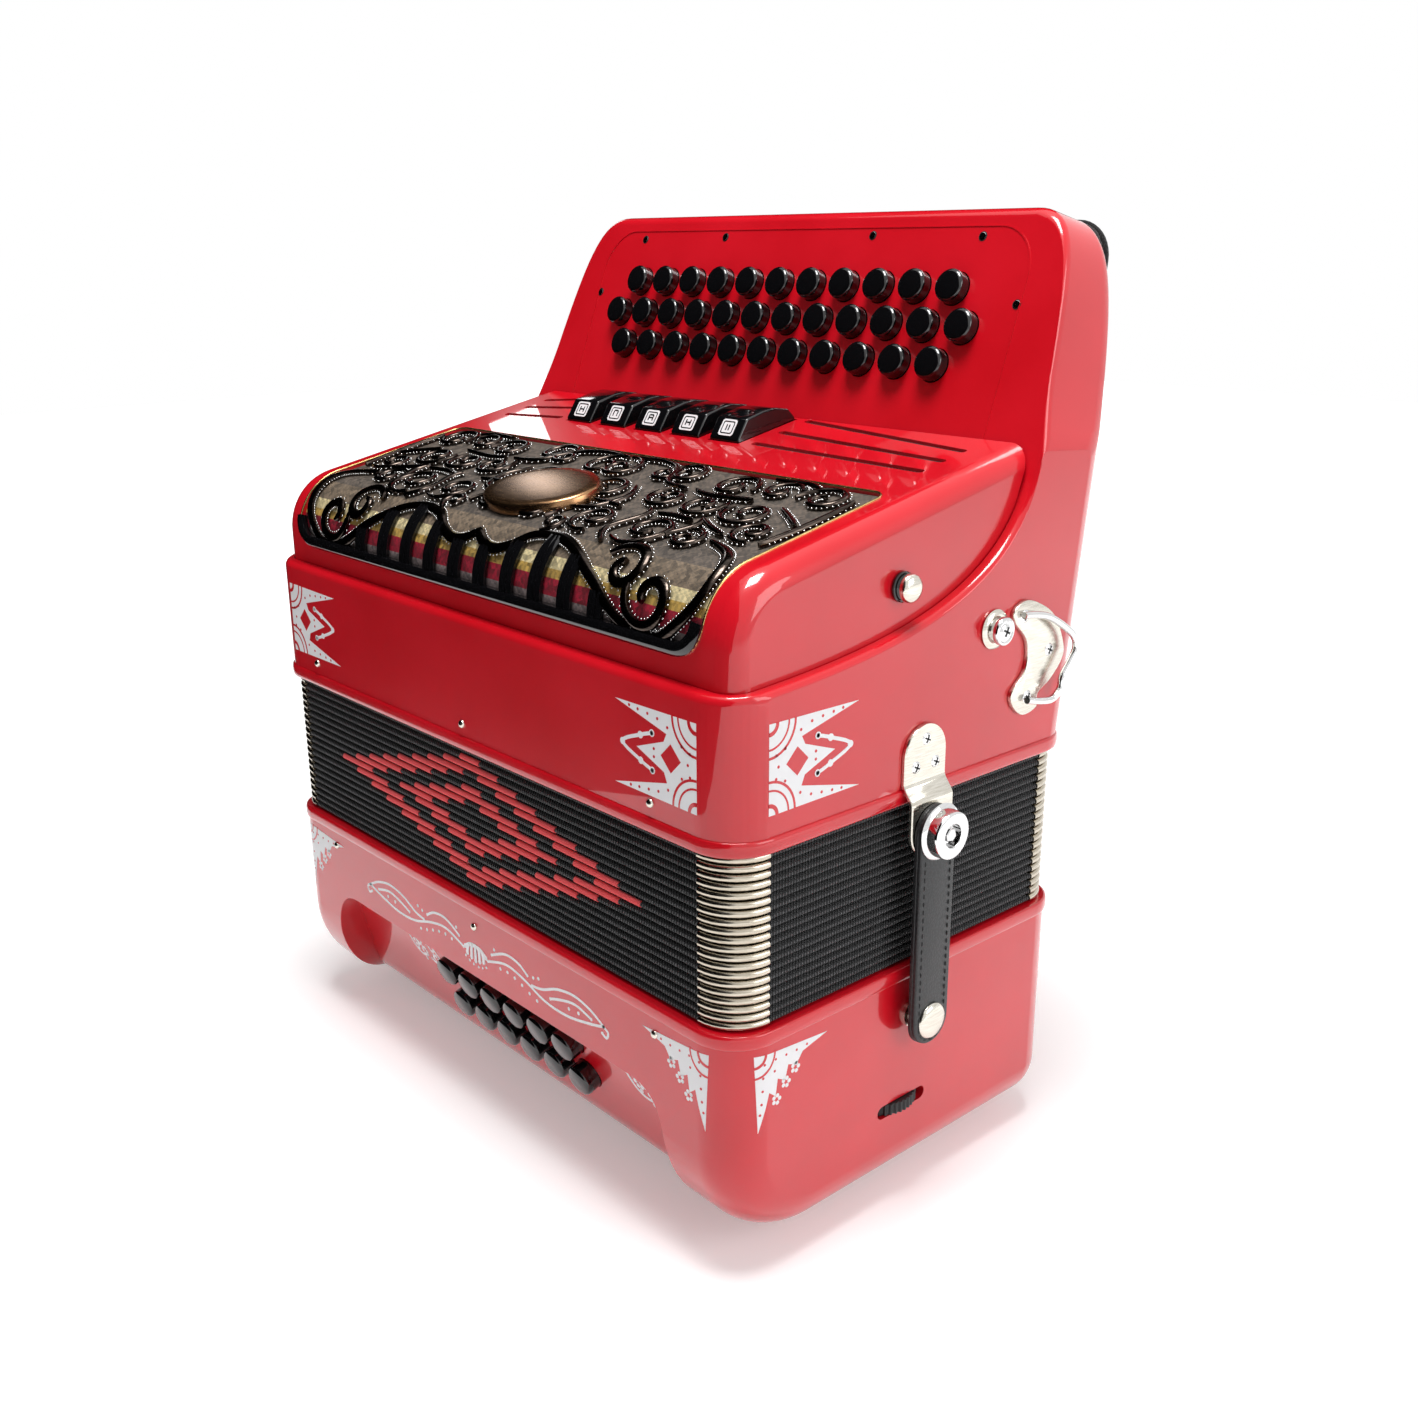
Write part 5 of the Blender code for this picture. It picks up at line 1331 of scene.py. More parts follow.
def makePivot(bright, side, out):
    # Drum in front of the strap, with a hexagonal tool recess and a neck through the leather
    outer = strap["inner"] + strap["thickness"] + 0.0003
    drum = ((0, 0), (0.0102, 0), (0.0106, 0.0005), (0.0100, 0.0012), (0.0091, 0.0016), (0.0090, 0.0048),
            (0.0087, 0.0057), (0.0079, 0.0061), (0.0050, 0.0062), (0.0044, 0.0059), (0.0041, 0.0026),
            (0, 0.0026))
    hexagon = ((0, 0.0030), (0.0022, 0.0030), (0.0026, 0.0026), (0.0026, 0.0), (0, 0.0))
    neck = ((0, 0.0), (0.0030, 0.0), (0.0030, 0.0052), (0, 0.0052))
    for profile, shift, steps in ((drum, 0.0, 48), (hexagon, 0.0024, 6), (neck, -0.0050, 24)):
        turned(bright, profile, (side * (outer + shift), 0, strap["pivotZ"]), out, steps)


def makeStuds(plates, bright, dark, studs, side, out):
    # Parking stud: cupped washer, neck and cross-headed cap
    y, z = hardware["park"]
    place = (side * halfLength, y, bellowsTop + z)
    turned(plates, ((0, 0.0001), (0.0072, 0.0001), (0.0074, 0.0006), (0.0068, 0.0013), (0.0056, 0.0018),
                    (0.0050, 0.0017), (0, 0.0017)), place, out, 40)
    turned(bright, ((0, 0.0012), (0.0040, 0.0012), (0.0040, 0.0030), (0.0052, 0.0034), (0.0054, 0.0046),
                    (0.0050, 0.0053), (0.0042, 0.0055), (0.0037, 0.0050), (0, 0.0048)), place, out, 40)
    screwHead(bright, dark, (side * (halfLength + 0.0050), y, bellowsTop + z), out, 0.0030)
    # Snap stud on the bass end, under the strap's cap
    turned(studs, ((0, 0), (0.0058, 0), (0.0058, 0.0012), (0.0044, 0.0016), (0.0043, 0.0052), (0, 0.0052)),
           (side * halfLength, 0, strap["snapZ"]), out, 32)


def makeStrapRing(plates, bright, dark, ringRods, side, out):
    # Curved plate with its rod ring, which leans away from the wall
    wall, thick = halfLength, hardware["plateThickness"]
    outline = closedPath(hardware["ringPlate"], 5)
    plate(plates, [Vector((side * (wall + 0.0001), p.x, bellowsTop + p.y)) for p in outline],
          (side * thick, 0, 0), 0.0004, 2)
    for y, z in hardware["ringScrews"]:
        screwHead(bright, dark, (side * (wall + thick), y, bellowsTop + z), out, 0.0026)
    rod = smoothPath(hardware["ring"], 6)
    low = min(p.x for p in rod)
    path = [Vector((side * (wall + 0.0034 + 0.05 * (p.x - low)), p.x, bellowsTop + p.y)) for p in rod]
    tube(ringRods, path, hardware["ringRod"], 12, up=(1, 0, 0))


def makeThumbscrew(plates, washers, side, out):
    # Through the cover's end: black washer, knurled neck, domed cap
    y, z = hardware["thumbscrew"]
    place = (side * coverHalf, y, bellowsTop + z)
    turned(washers, ((0, 0), (0.0050, 0), (0.0054, 0.0004), (0.0054, 0.0012), (0.0050, 0.0016), (0, 0.0016)),
           place, out, 32)
    knurl = [(0.0046 if k % 2 else 0.0043, 0.0016 + 0.0003 * k) for k in range(6)]
    turned(washers, [(0, 0.0014), (0.0044, 0.0014)] + knurl + [(0, 0.0033)], place, out, 32)
    turned(plates, ((0, 0.0030), (0.0046, 0.0030), (0.0050, 0.0034), (0.0050, 0.0048), (0.0045, 0.0056),
                    (0.0033, 0.0062), (0.0015, 0.0065), (0, 0.0066)), place, out, 40)


def makeEndHardware():
    plates, bright, dark, ringRods, studs, washers = (bmesh.new() for _ in range(6))
    for side in (-1, 1):
        out = Vector((side, 0, 0))
        loft(plates, list(strapPlateRings(side)))
        for y, z in hardware["plateScrews"]:
            place = (side * (halfLength + hardware["plateThickness"]), y, bellowsTop + z)
            screwHead(bright, dark, place, out, 0.0024)
        makePivot(bright, side, out)
        makeStuds(plates, bright, dark, studs, side, out)
        makeStrapRing(plates, bright, dark, ringRods, side, out)
        makeThumbscrew(plates, washers, side, out)
    finishPiece("endPlates", plates, nickel, "treble", 40)
    finishPiece("endPivotsAndScrews", bright, chrome, "treble", 40)
    # Dark bars that paint the shade inside the screws' cross recesses
    finishPiece("screwSlotShade", dark, rubberAndRecessShade, "treble", 30)
    finishPiece("strapRings", ringRods, chrome, "treble", 60)
    finishPiece("snapStuds", studs, nickel, "bass", 40)
    finishPiece("thumbscrewWashers", washers, gloss, "treble", 40)


def strapStrip(bm, side, x0, x1, shrink, rounding):
    # One layer of the strap, round at both ends
    half = strap["width"] / 2 - shrink
    outline = []
    for turn, middle in ((0, strap["pivotZ"]), (math.pi, strap["snapZ"])):
        for t in spread(20):
            angle = turn + math.pi * t
            outline.append((side * x0, half * math.cos(angle), middle + half * math.sin(angle)))
    plate(bm, outline, (side * (x1 - x0), 0, 0), rounding, 3)


def stitchPlaces():
    # Middle and direction of each stitch: both sides, then round the foot
    low, high = strap["snapZ"] - 0.001, strap["pivotZ"] - 0.008
    half = strap["width"] / 2 - strap["stitchInset"]
    for k in range(int((high - low) / strap["stitchPitch"]) + 1):
        for side in (-1, 1):
            yield Vector((side * half, low + k * strap["stitchPitch"])), Vector((0, 1))
    steps = int(math.pi * half / strap["stitchPitch"])
    for k in range(steps + 1):
        a = math.pi + math.pi * (k + 0.5) / (steps + 1)
        yield Vector((half * math.cos(a), low + half * math.sin(a))), Vector((-math.sin(a), math.cos(a)))


def makeBellowsStraps():
    # Two layers of leather stitched together, with a snap cap at the foot
    for name, side in (("right", 1), ("left", -1)):
        body = "bellows_strap_" + name
        inner, outer = strap["inner"], strap["inner"] + strap["thickness"]
        bm = bmesh.new()
        strapStrip(bm, side, inner, inner + 0.0014, 0.0, 0.0003)
        strapStrip(bm, side, inner + 0.00145, outer, 0.0002, 0.0007)
        piece = finishPiece(f"strapLeather{name.title()}", bm, leather, body, 45)
        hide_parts(body)
        bm = bmesh.new()
        for spot, along in stitchPlaces():
            path = []
            for share, rise in ((-1, -0.0003), (-0.5, 0.00012), (0.5, 0.00012), (1, -0.0003)):
                p = spot + along * strap["stitch"] / 2 * share
                path.append((side * (outer + rise), p.x, p.y))
            tube(bm, path, 0.00027, 6, up=(side, 0, 0))
        finishPiece(f"strapStitches{name.title()}", bm, thread, body, 60, merge=0)
        bm = bmesh.new()
        dome = ((0, 0), (0.0067, 0), (0.0070, 0.0003), (0.0069, 0.0008), (0.0060, 0.0015), (0.0040, 0.0020),
                (0.0018, 0.0022), (0, 0.00225))
        turned(bm, dome, (side * (outer - 0.0001), 0, strap["snapZ"]), (side, 0, 0), 44)
        finishPiece(f"strapCap{name.title()}", bm, nickel, body, 50)


pins = {
    "treble": ((-0.118, 0.0105), (0.0, 0.0105), (0.115, 0.0105)),
    "bass": ((-0.115, -0.0763), (0.0, -0.0763), (0.115, -0.0763)),
}


def makePins():
    # Round-headed pins that hold the bellows frames, on the front and the back
    head = ((0, 0.0013), (0.0008, 0.0012), (0.0015, 0.0007), (0.0017, 0), (0.0017, -0.001), (0, -0.001))
    for body, places in pins.items():
        bm = bmesh.new()
        for x, z in places:
            for side in (-1, 1):
                y = halfDepth + (math.tan(board["backLean"]) * z if side > 0 and body == "treble" else 0.0)
                turned(bm, head, (x, side * y, bellowsTop + z), (0, side, 0), 24)
        finishPiece(body + "Pins", bm, nickel, body, 50)


def makeWheel():
    # Milled thumbwheel of the bass strap with its axle
    bm = bmesh.new()
    centre = Vector((halfLength + wheel["proud"] - wheel["radius"], wheel["y"], wheel["z"]))
    thick = wheel["thickness"]
    outline = []
    for i in range(wheel["ridges"] * 4):
        a = 2 * math.pi * i / (wheel["ridges"] * 4)
        radius = wheel["radius"] - (wheel["ridgeDepth"] if i % 4 >= 2 else 0.0)
        outline.append(centre + Vector((radius * math.cos(a), radius * math.sin(a), -thick / 2)))
    plate(bm, outline, (0, 0, thick))
    turned(bm, ((0, 0), (0.002, 0), (0.002, thick + 0.004), (0, thick + 0.004)),
           centre - Vector((0, 0, thick / 2 + 0.002)), (0, 0, 1), 24)
    piece = finishPiece("thumbwheel", bm, wheelPlastic, "strap_wheel", 30)
    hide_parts("strap_wheel")


def makeAirButton():
    r, h, stem = airButton["radius"], airButton["height"], airButton["stem"]
    bm = bmesh.new()
    cap = ((0, h + 0.0002), (r * 0.5, h + 0.0001), (r - 0.0012, h - 0.0003), (r - 0.0004, h - 0.0009),
           (r, h - 0.002), (r, -stem), (0, -stem))
    turned(bm, cap, (airButton["x"], halfDepth, airButton["z"]), (0, 1, 0), 40)
    piece = finishPiece("airValveButton", bm, gloss, "air_button", 40)
    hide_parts("air_button")


handStrap = {"half": 0.134, "ramp": 0.028, "width": 0.046, "thickness": 0.003, "rest": 0.0038,
             "edge": 0.0012, "stitchPitch": 0.0036, "stitchInset": 0.003, "stitchEnd": 0.004}


def handStrapTop(x):
    # Height of the strap's middle: low along its length, up to the case at both ends
    t = max(0.0, (abs(x) - handStrap["half"] + handStrap["ramp"]) / handStrap["ramp"])
    return handStrap["rest"] + (bassBottom - 0.0003 - handStrap["rest"]) * t * t * (3 - 2 * t)


def makeHandStrap():
    # Padded leather band under the bass end, edges rolled, stitched along both sides
    bm = bmesh.new()
    half, thick, edge = handStrap["width"] / 2, handStrap["thickness"], handStrap["edge"]
    section = []
    for side in (-1, 1):
        for t in spread(6):
            a = math.pi * t - side * math.pi / 2 + (math.pi if side > 0 else 0.0)
            section.append((side * (half - edge) + edge * math.cos(a), thick / 2 * (math.sin(a) - 1)))
    rampStart = handStrap["half"] - handStrap["ramp"]
    stops = mirrored([0.0, 0.04, 0.08] + [rampStart + handStrap["ramp"] * t for t in spread(12)])
    loft(bm, [[(x, y, handStrapTop(x) + z) for y, z in section] for x in stops])
    piece = finishPiece("handStrapLeather", bm, leather, "bass", 50)
    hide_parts("bass_strap")
    bm = bmesh.new()
    reach = handStrap["half"] - handStrap["stitchEnd"]
    stitch = ((-0.0012, 0.0002), (-0.0006, -0.0001), (0.0006, -0.0001), (0.0012, 0.0002))
    for k in range(int(2 * reach / handStrap["stitchPitch"])):
        x = -reach + handStrap["stitchPitch"] * (k + 0.5)
        for y in (handStrap["stitchInset"] - half, half - handStrap["stitchInset"]):
            tube(bm, [(x + u, y, handStrapTop(x) - thick + rise) for u, rise in stitch], 0.00022, 6)
    finishPiece("handStrapStitches", bm, thread, "bass", 60, merge=0)


feet = {"x": 0.117, "frontY": -0.040, "backY": 0.060}


def makeFeet():
    # Moulded feet, each with a small disc turned inside it at the screw's place; no hollow is cut
    bm = bmesh.new()
    cone = ((0, 0.0), (0.0062, 0.0), (0.0070, 0.0004), (0.0074, 0.0012), (0.0080, 0.0062), (0.0080, 0.0080),
            (0, 0.0080))
    hollow = ((0, 0.0009), (0.0024, 0.0009), (0.0024, 0.0001), (0, 0.0001))
    for x in (-feet["x"], feet["x"]):
        for y in (feet["frontY"], feet["backY"]):
            turned(bm, cone, (x, y, 0), (0, 0, 1), 36)
            turned(bm, hollow, (x, y, 0), (0, 0, 1), 20)
    finishPiece("rubberFeet", bm, rubberAndRecessShade, "bass", 40)


makeEndHardware()
makeBellowsStraps()
makePins()
makeWheel()
makeAirButton()
makeHandStrap()
makeFeet()
print("hardware and straps made")


# Fingerboard's inset plate: a fine raised line along its edge and six screws
boardPlate = {"half": 0.127, "top": 0.194, "low": 0.114, "corner": 0.018, "rise": 0.0003,
              "screws": ((0.101, 0.190), (0.0446, 0.1907), (0.1253, 0.1658))}


def onBoard(x, z, rise):
    return Vector((x, boardY(z), bellowsTop + z)) + boardNormal * rise


def makeBoardPlate():
    # Fine raised line over and beside the buttons, and the screws that hold the plate
    half, top, low, radius = (boardPlate[key] for key in ("half", "top", "low", "corner"))
    outline = [(half, low)]
    for t in spread(10):
        a = math.pi / 2 * t
        outline.append((half - radius + radius * math.cos(a), top - radius + radius * math.sin(a)))
    outline += [(-x, z) for x, z in reversed(outline)]
    bm = bmesh.new()
    rings = []
    for x, z in outline:
        innerX, innerZ = x * 0.9965, z - 0.0004
        rings.append([onBoard(x, z, -0.0002), onBoard(x, z, boardPlate["rise"]),
                      onBoard(innerX, innerZ, boardPlate["rise"]), onBoard(innerX, innerZ, -0.0002)])
    loft(bm, rings)
    finishPiece("boardPlateEdge", bm, lacquer, "treble", 40)
    heads, sinkShade = bmesh.new(), bmesh.new()
    # A dark ring round each screw head is painted shade of its countersink
    sink = ((0, 0.00015), (0.0019, 0.00015), (0.0019, -0.0005), (0, -0.0005))
    head = ((0, 0.0002), (0.0012, 0.0004), (0.0015, 0.0003), (0.0016, -0.0002), (0, -0.0002))
    for x, z in boardPlate["screws"]:
        for side in (-1, 1):
            place = onBoard(side * x, z, 0.0)
            turned(sinkShade, sink, place, boardNormal, 24)
            turned(heads, head, place, boardNormal, 24)
    finishPiece("boardScrewSinkShade", sinkShade, rubberAndRecessShade, "treble", 40)
    finishPiece("boardScrews", heads, chrome, "treble", 40)


makeBoardPlate()
print("board plate made")


# Back pad: foam under cloth, crowned, pulled in at its corners
padSet = {
    "low": 0.112, "high": 0.196, "half": 0.134, "thickness": 0.023, "corner": 0.014,
    "gap": 0.0006,  # between the case and the pad's flat side
    "voxel": 0.005, "pressure": 4.0, "frames": 20,
    "cap": 0.006, "give": 0.6,  # most that the cloth may move, and how much of it is kept
    "pipingRadius": 0.0011, "pipingLevel": 0.0085,
}


def padBody(middle):
    # The foam's plain form: flat on the case, rounded towards the player
    half, height = padSet["half"], padSet["high"] - padSet["low"]
    thick = padSet["thickness"] - 0.003
    outline = roundedRectangle(half, height / 2, padSet["corner"], 8)
    rings = []
    for size, rise in ((0.0, 0.0), (0.0, 0.4), (0.012, 0.85), (0.035, 1.0)):
        ring = []
        for x, z in outline:
            z = middle + z * (1 - size / height)
            y = backY(z) + padSet["gap"] + thick * rise
            ring.append((x * (1 - size / half * 0.5), y, bellowsTop + z))
        rings.append(ring)
    bm = bmesh.new()
    loft(bm, rings)
    return finishPiece("backPad", bm, padCloth, angle=60)


def fillPad(piece):
    # A cloth simulation blows the cover up over its filling
    modifier = piece.modifiers.new("voxels", "REMESH")
    modifier.mode, modifier.voxel_size = "VOXEL", padSet["voxel"]
    mesh = finalMesh(piece)
    piece.modifiers.clear()
    piece.data = mesh
    before = [v.co.copy() for v in mesh.vertices]
    cloth = piece.modifiers.new("filling", "CLOTH")
    cloth.settings.use_pressure = True
    cloth.settings.uniform_pressure_force = padSet["pressure"]
    cloth.settings.effector_weights.gravity = 0.0
    cloth.point_cache.frame_start, cloth.point_cache.frame_end = 1, padSet["frames"]
    for frameNumber in range(1, padSet["frames"] + 1):
        bpy.context.scene.frame_set(frameNumber)
    blown = bpy.data.meshes.new_from_object(piece.evaluated_get(bpy.context.evaluated_depsgraph_get()))
    piece.modifiers.clear()
    piece.data = blown
    for vertex, start in zip(blown.vertices, before):
        move = vertex.co - start
        if move.length > padSet["cap"]:
            move *= padSet["cap"] / move.length
        spot = start + move * padSet["give"]
        # The side against the case stays flat on it
        local = spot - toFrame
        rest = backY(local.z - bellowsTop) + padSet["gap"]
        if local.y < rest:
            spot.y += rest - local.y
        vertex.co = spot
    bpy.context.scene.frame_set(1)


def makePad():
    middle = (padSet["low"] + padSet["high"]) / 2
    piece = padBody(middle)
    fillPad(piece)
    bm = bmesh.new()
    bm.from_mesh(piece.data)
    bmesh.ops.subdivide_edges(bm, edges=bm.edges[:], cuts=1, use_grid_fill=True, smooth=1.0)
    bmesh.ops.recalc_face_normals(bm, faces=bm.faces)
    bm.to_mesh(piece.data)
    bm.free()
    if not piece.data.materials:
        piece.data.materials.append(padCloth)
    piece.data.shade_smooth()
    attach(piece, "treble")
    # Corded seam round the pad's edge
    inset = 0.0012
    half, rise = padSet["half"] - inset, (padSet["high"] - padSet["low"]) / 2 - inset
    path = [Vector((x, backY(middle + z) + padSet["pipingLevel"], bellowsTop + middle + z))
            for x, z in roundedRectangle(half, rise, padSet["corner"], 10)]
    bm = bmesh.new()
    tube(bm, spaced(path, 0.0006), padSet["pipingRadius"], 10, closed=True, up=(0, 1, 0))
    finishPiece("backPadPiping", bm, padCloth, "treble", 60)


makePad()
print("pad made")


# Printed ornaments: star crowns at the corners and a scroll line over the bass buttons
# Points in millimetres: first away from the corner's upright, then up
inkLevel, gapLevel = 0.00010, 0.00016  # of the white ink and of the red gaps in it over the lacquer
crownShape = ((0, 13), (0, 44), (41, 43.5), (14.5, 37), (16, 34), (30, 29), (16, 23.5), (14.5, 20),
              (42, 13.5))
crownHole = ((7.5, 29), (12.5, 34), (17.5, 29), (12.5, 24))
crownChevron = ((22, 35.5), (28, 33.5), (37.5, 29), (28, 24.5), (22, 22.5))
crownDots = ((19, 41.2), (24, 41.8), (29, 42.2), (33.5, 42.6), (19, 16), (24, 15.4), (29, 14.9),
             (33.5, 14.5), (4, 29), (7, 34.5), (7, 23.5), (21, 30.4), (21, 27.6), (14, 39.3), (14, 17.8),
             (3, 33), (3, 25))
cornerShape = ((0, 0), (34, -2.5), (22, -5.5), (19, -9.5), (15, -8), (13.5, -13.5), (10, -11.5), (9, -18),
               (6, -15.5), (4.5, -21), (1.5, -30))
cornerFlowers = ((18.5, -10.5), (9.5, -19.5), (14, -14.5))
cornerDots = ((4, -4), (9, -3.6), (14, -3.8), (19, -3.9), (24, -3.6), (3.4, -9), (3.2, -14), (2.8, -19),
              (8.5, -8), (2.2, -23))
scrollLines = (((9, -88.5), (22, -85), (34, -86.5), (48, -90.5), (62, -91), (76, -88.5), (85.5, -86)),
               ((85.5, -86), (78, -82.5), (68, -80.5), (57, -82), (47, -86), (40, -87.2)),
               ((78, -86), (68, -84), (58, -86), (52, -88)), ((12, -84.5), (22, -80.5), (31, -81), (37, -84)),
               ((85.5, -86), (88, -87.5), (87, -90), (84.5, -89)))
combLines = (((0, -85.2), (4, -85.6), (7.6, -87.6)), ((0, -85.6), (0, -88.5), (0, -91.6)),
             ((2.7, -85.8), (2.9, -88.5), (3, -91)), ((5.3, -86.4), (5.7, -88.2), (6, -90)))
combDots = ((1.8, -93.8), (4.8, -93.2), (7.6, -91.9))
scrollDots = ((18, -88.4), (23, -88), (28, -88.6), (33, -89.8), (38, -91.4), (43, -92.6), (14, -81.5),
              (41, -83.4), (44.5, -82.4), (64, -87.4), (70, -86.8))
panelLines = (((0, 0), (5, 3.5), (11, 3), (13, -1), (9.5, -3), (7.5, -0.5)),
              ((13, -1), (19, 3.5), (25, 3), (27, -1), (23.5, -3), (21.5, -0.5)),
              ((0, 0), (4, -6), (10, -8.5), (16, -7)), ((27, -1), (31, -6), (26, -9.5), (20, -8)))
panelDots = ((3, 6), (9, 6.5), (17, 6.2), (23, 6.2), (7, -6), (13, -10), (24, -5.5), (30, 1))
panelFlowers = ((7, -2), (14, -5.5), (20, 2), (26, -6.5))


def onFront(x, z, rise):
    y = -halfDepth + setback(x, casing["cornerRadius"], halfLength) - rise
    return Vector((x, y, bellowsTop + z))


def onRightEnd(y, z, rise):
    return Vector((halfLength - setback(y, casing["cornerRadius"], halfDepth) + rise, y, bellowsTop + z))


def onLeftEnd(y, z, rise):
    spot = onRightEnd(y, z, rise)
    return Vector((-spot.x, spot.y, spot.z))


def onRecess(x, z, rise):
    z += bellowsTop
    return Vector((x, recessY(max(z, bassBottom)), z)) + recessNormal * rise


def film(bm, points, place, top, step=0.004):
    # Thin film of ink through the points, cut finely enough to follow the surface
    sheet = bmesh.new()
    plate(sheet, [Vector((u / 1000, v / 1000, 0)) for u, v in points], (0, 0, 1))
    for axis in range(2):
        low = min(v.co[axis] for v in sheet.verts)
        high = max(v.co[axis] for v in sheet.verts)
        normal = Vector((1, 0, 0)) if axis == 0 else Vector((0, 1, 0))
        for k in range(1, int((high - low) / step) + 1):
            bmesh.ops.bisect_plane(sheet, geom=sheet.verts[:] + sheet.edges[:] + sheet.faces[:],
                                   plane_co=normal * (low + k * step), plane_no=normal)
    bmesh.ops.triangulate(sheet, faces=sheet.faces)
    for v in sheet.verts:
        v.co = place(v.co.x, v.co.y, top * v.co.z - 0.0002 * (1 - v.co.z))
    mesh = bpy.data.meshes.new("film")
    sheet.to_mesh(mesh)
    sheet.free()
    bm.from_mesh(mesh)
    bpy.data.meshes.remove(mesh)


def dot(bm, spot, radius, place, top):
    outline = [(spot[0] + radius * math.cos(math.pi * k / 6), spot[1] + radius * math.sin(math.pi * k / 6))
               for k in range(12)]
    film(bm, outline, place, top, 0.02)


def flower(bm, centre, petals, reach, radius, place, top):
    for k in range(petals):
        a = 2 * math.pi * k / petals
        dot(bm, (centre[0] + reach * math.cos(a), centre[1] + reach * math.sin(a)), radius, place, top)


def stroke(bm, points, width, place, top):
    # Line of even width with a slightly higher dot at both ends
    path = smoothPath(points, 5)
    left = [p + acrossAt(path, i) * width / 2 for i, p in enumerate(path)]
    right = [p - acrossAt(path, i) * width / 2 for i, p in enumerate(path)]
    for i in range(len(path) - 1):
        corners = (left[i], left[i + 1], right[i + 1], right[i])
        film(bm, [tuple(corner) for corner in corners], place, top, 0.02)
    for p in (path[0], path[-1]):
        dot(bm, tuple(p), width * 0.62, place, top + 0.00002)


def arcBand(centre, radius, width, start):
    # Quarter of a ring
    angles = [start + math.pi / 2 * t for t in spread(10)]
    outer, inner = ([(centre[0] + r * math.cos(a), centre[1] + r * math.sin(a)) for a in angles]
                    for r in (radius, radius - width))
    return outer + inner[::-1]


def cornerPlaces(frontReach, endReach, drop):
    # For each corner, a function that takes its ornament's points to the case's surface
    for surface, side, reach in ((onFront, 1, frontReach), (onFront, -1, frontReach),
                                 (onRightEnd, -1, endReach), (onLeftEnd, -1, endReach)):
        def place(u, v, rise, surface=surface, side=side, reach=reach):
            return surface(side * (reach - u * 1000) / 1000, v - drop, rise)
        yield place


def drawCrown(white, red, place):
    film(white, crownShape, place, inkLevel, 0.003)
    film(red, crownHole, place, gapLevel)
    for corner, start in (((0, 44), -math.pi / 2), ((0, 13), 0.0)):
        for radius, width in ((12.0, 0.9), (9.0, 0.7), (4.2, 1.4)):
            film(red, arcBand(corner, radius, width, start), place, gapLevel, 0.02)
    for spot in crownDots:
        dot(red, spot, 0.55, place, gapLevel)
    stroke(white, crownChevron, 1.3, place, inkLevel)
    for spot in crownChevron:
        dot(white, spot, 1.3, place, inkLevel + 0.00002)


def drawCorner(white, red, place):
    film(white, cornerShape, place, inkLevel, 0.003)
    for radius, width in ((9.0, 0.8), (5.0, 1.0)):
        film(red, arcBand((0, 0), radius, width, -math.pi / 2), place, gapLevel, 0.02)
    for spot in cornerDots:
        dot(red, spot, 0.5, place, gapLevel)
    for centre in cornerFlowers:
        flower(white, centre, 5, 1.5, 0.8, place, inkLevel)


def drawScrolls(white, side):
    # Scroll line over the bass buttons, with half of the comb in its middle
    def place(u, v, rise):
        return onFront(side * u, v, rise)

    for points in scrollLines:
        stroke(white, points, 1.1, place, inkLevel)
    # The comb's strokes meet in the middle, so each lies at a level of its own
    for k, points in enumerate(combLines):
        stroke(white, points, 1.7, place, inkLevel + 0.00003 * (2 * k + (side > 0)))
    for spot in scrollDots:
        dot(white, spot, 0.75, place, inkLevel)
    for spot in combDots:
        dot(white, spot, 0.6, place, inkLevel)


def drawPanel(white, start, stretch):
    # Flowers and tendrils beside the recess's buttons
    def place(u, v, rise):
        return onRecess(start + u * stretch, v - 0.108, rise)

    for points in panelLines:
        stroke(white, points, 1.4, place, inkLevel)
    for spot in panelDots:
        dot(white, spot, 1.0, place, inkLevel)
    for centre in panelFlowers:
        flower(white, centre, 6, 2.2, 1.05, place, inkLevel + 0.00002)


def makeOrnaments():
    white, red = bmesh.new(), bmesh.new()
    for place in cornerPlaces(138.5, 75.0, 0.0):
        drawCrown(white, red, place)
    finishPiece("trebleOrnaments", white, enamelWhite, "treble", 30, merge=0)
    finishPiece("trebleOrnamentGaps", red, lacquer, "treble", 30, merge=0)
    white, red = bmesh.new(), bmesh.new()
    for place in cornerPlaces(142.5, 80.0, 0.073):
        drawCorner(white, red, place)
    for side in (-1, 1):
        drawScrolls(white, side)
    for start, stretch in ((0.086, 1.0), (-0.071, 0.75)):
        drawPanel(white, start, stretch)
    finishPiece("bassOrnaments", white, enamelWhite, "bass", 30, merge=0)
    finishPiece("bassOrnamentGaps", red, lacquer, "bass", 30, merge=0)


makeOrnaments()
print("ornaments made")


# Stage: floor, soft lamps and the camera at the photograph's place
stageSet = {
    "cameraPlace": (0.4684, -0.4028, 0.3507), "azimuth": 48.40, "elevation": 17.61, "roll": -0.36,
    "lens": 37.17,
    "floorColour": "#F2F2F2",
    # Name, place, size
    "cards": (("frontCard", (-0.20, -0.34, 0.30), (2.6, 1.0)),
              ("backCard", (-0.85, 0.54, 0.85), (1.5, 1.2))),
    # Name, place, what it is aimed at, size, power in watts
    "lamps": (("overheadBox", (0.1, -0.1, 1.5), (0, 0, 0.15), (0.55, 0.55), 20.0),
              ("rightBox", (1.5, 0.4, 0.8), (0, 0, 0.15), (0.9, 0.9), 9.0),
              ("badgeGlint", (-0.727, 0.341, 0.594), (0, -0.0726, 0.2625), (0.05, 0.16), 0.1)),
}


def seenRays(tree):
    # 1 where the camera looks itself, off gloss or through glass, else 0
    rays = addNode(tree, "LightPath")
    seen = addNode(tree, "Math", {0: rays.outputs["Is Camera Ray"], 1: rays.outputs["Is Glossy Ray"]},
                   operation="MAXIMUM")
    return addNode(tree, "Math", {0: seen.outputs["Value"], 1: rays.outputs["Is Transmission Ray"]},
                   operation="MAXIMUM")


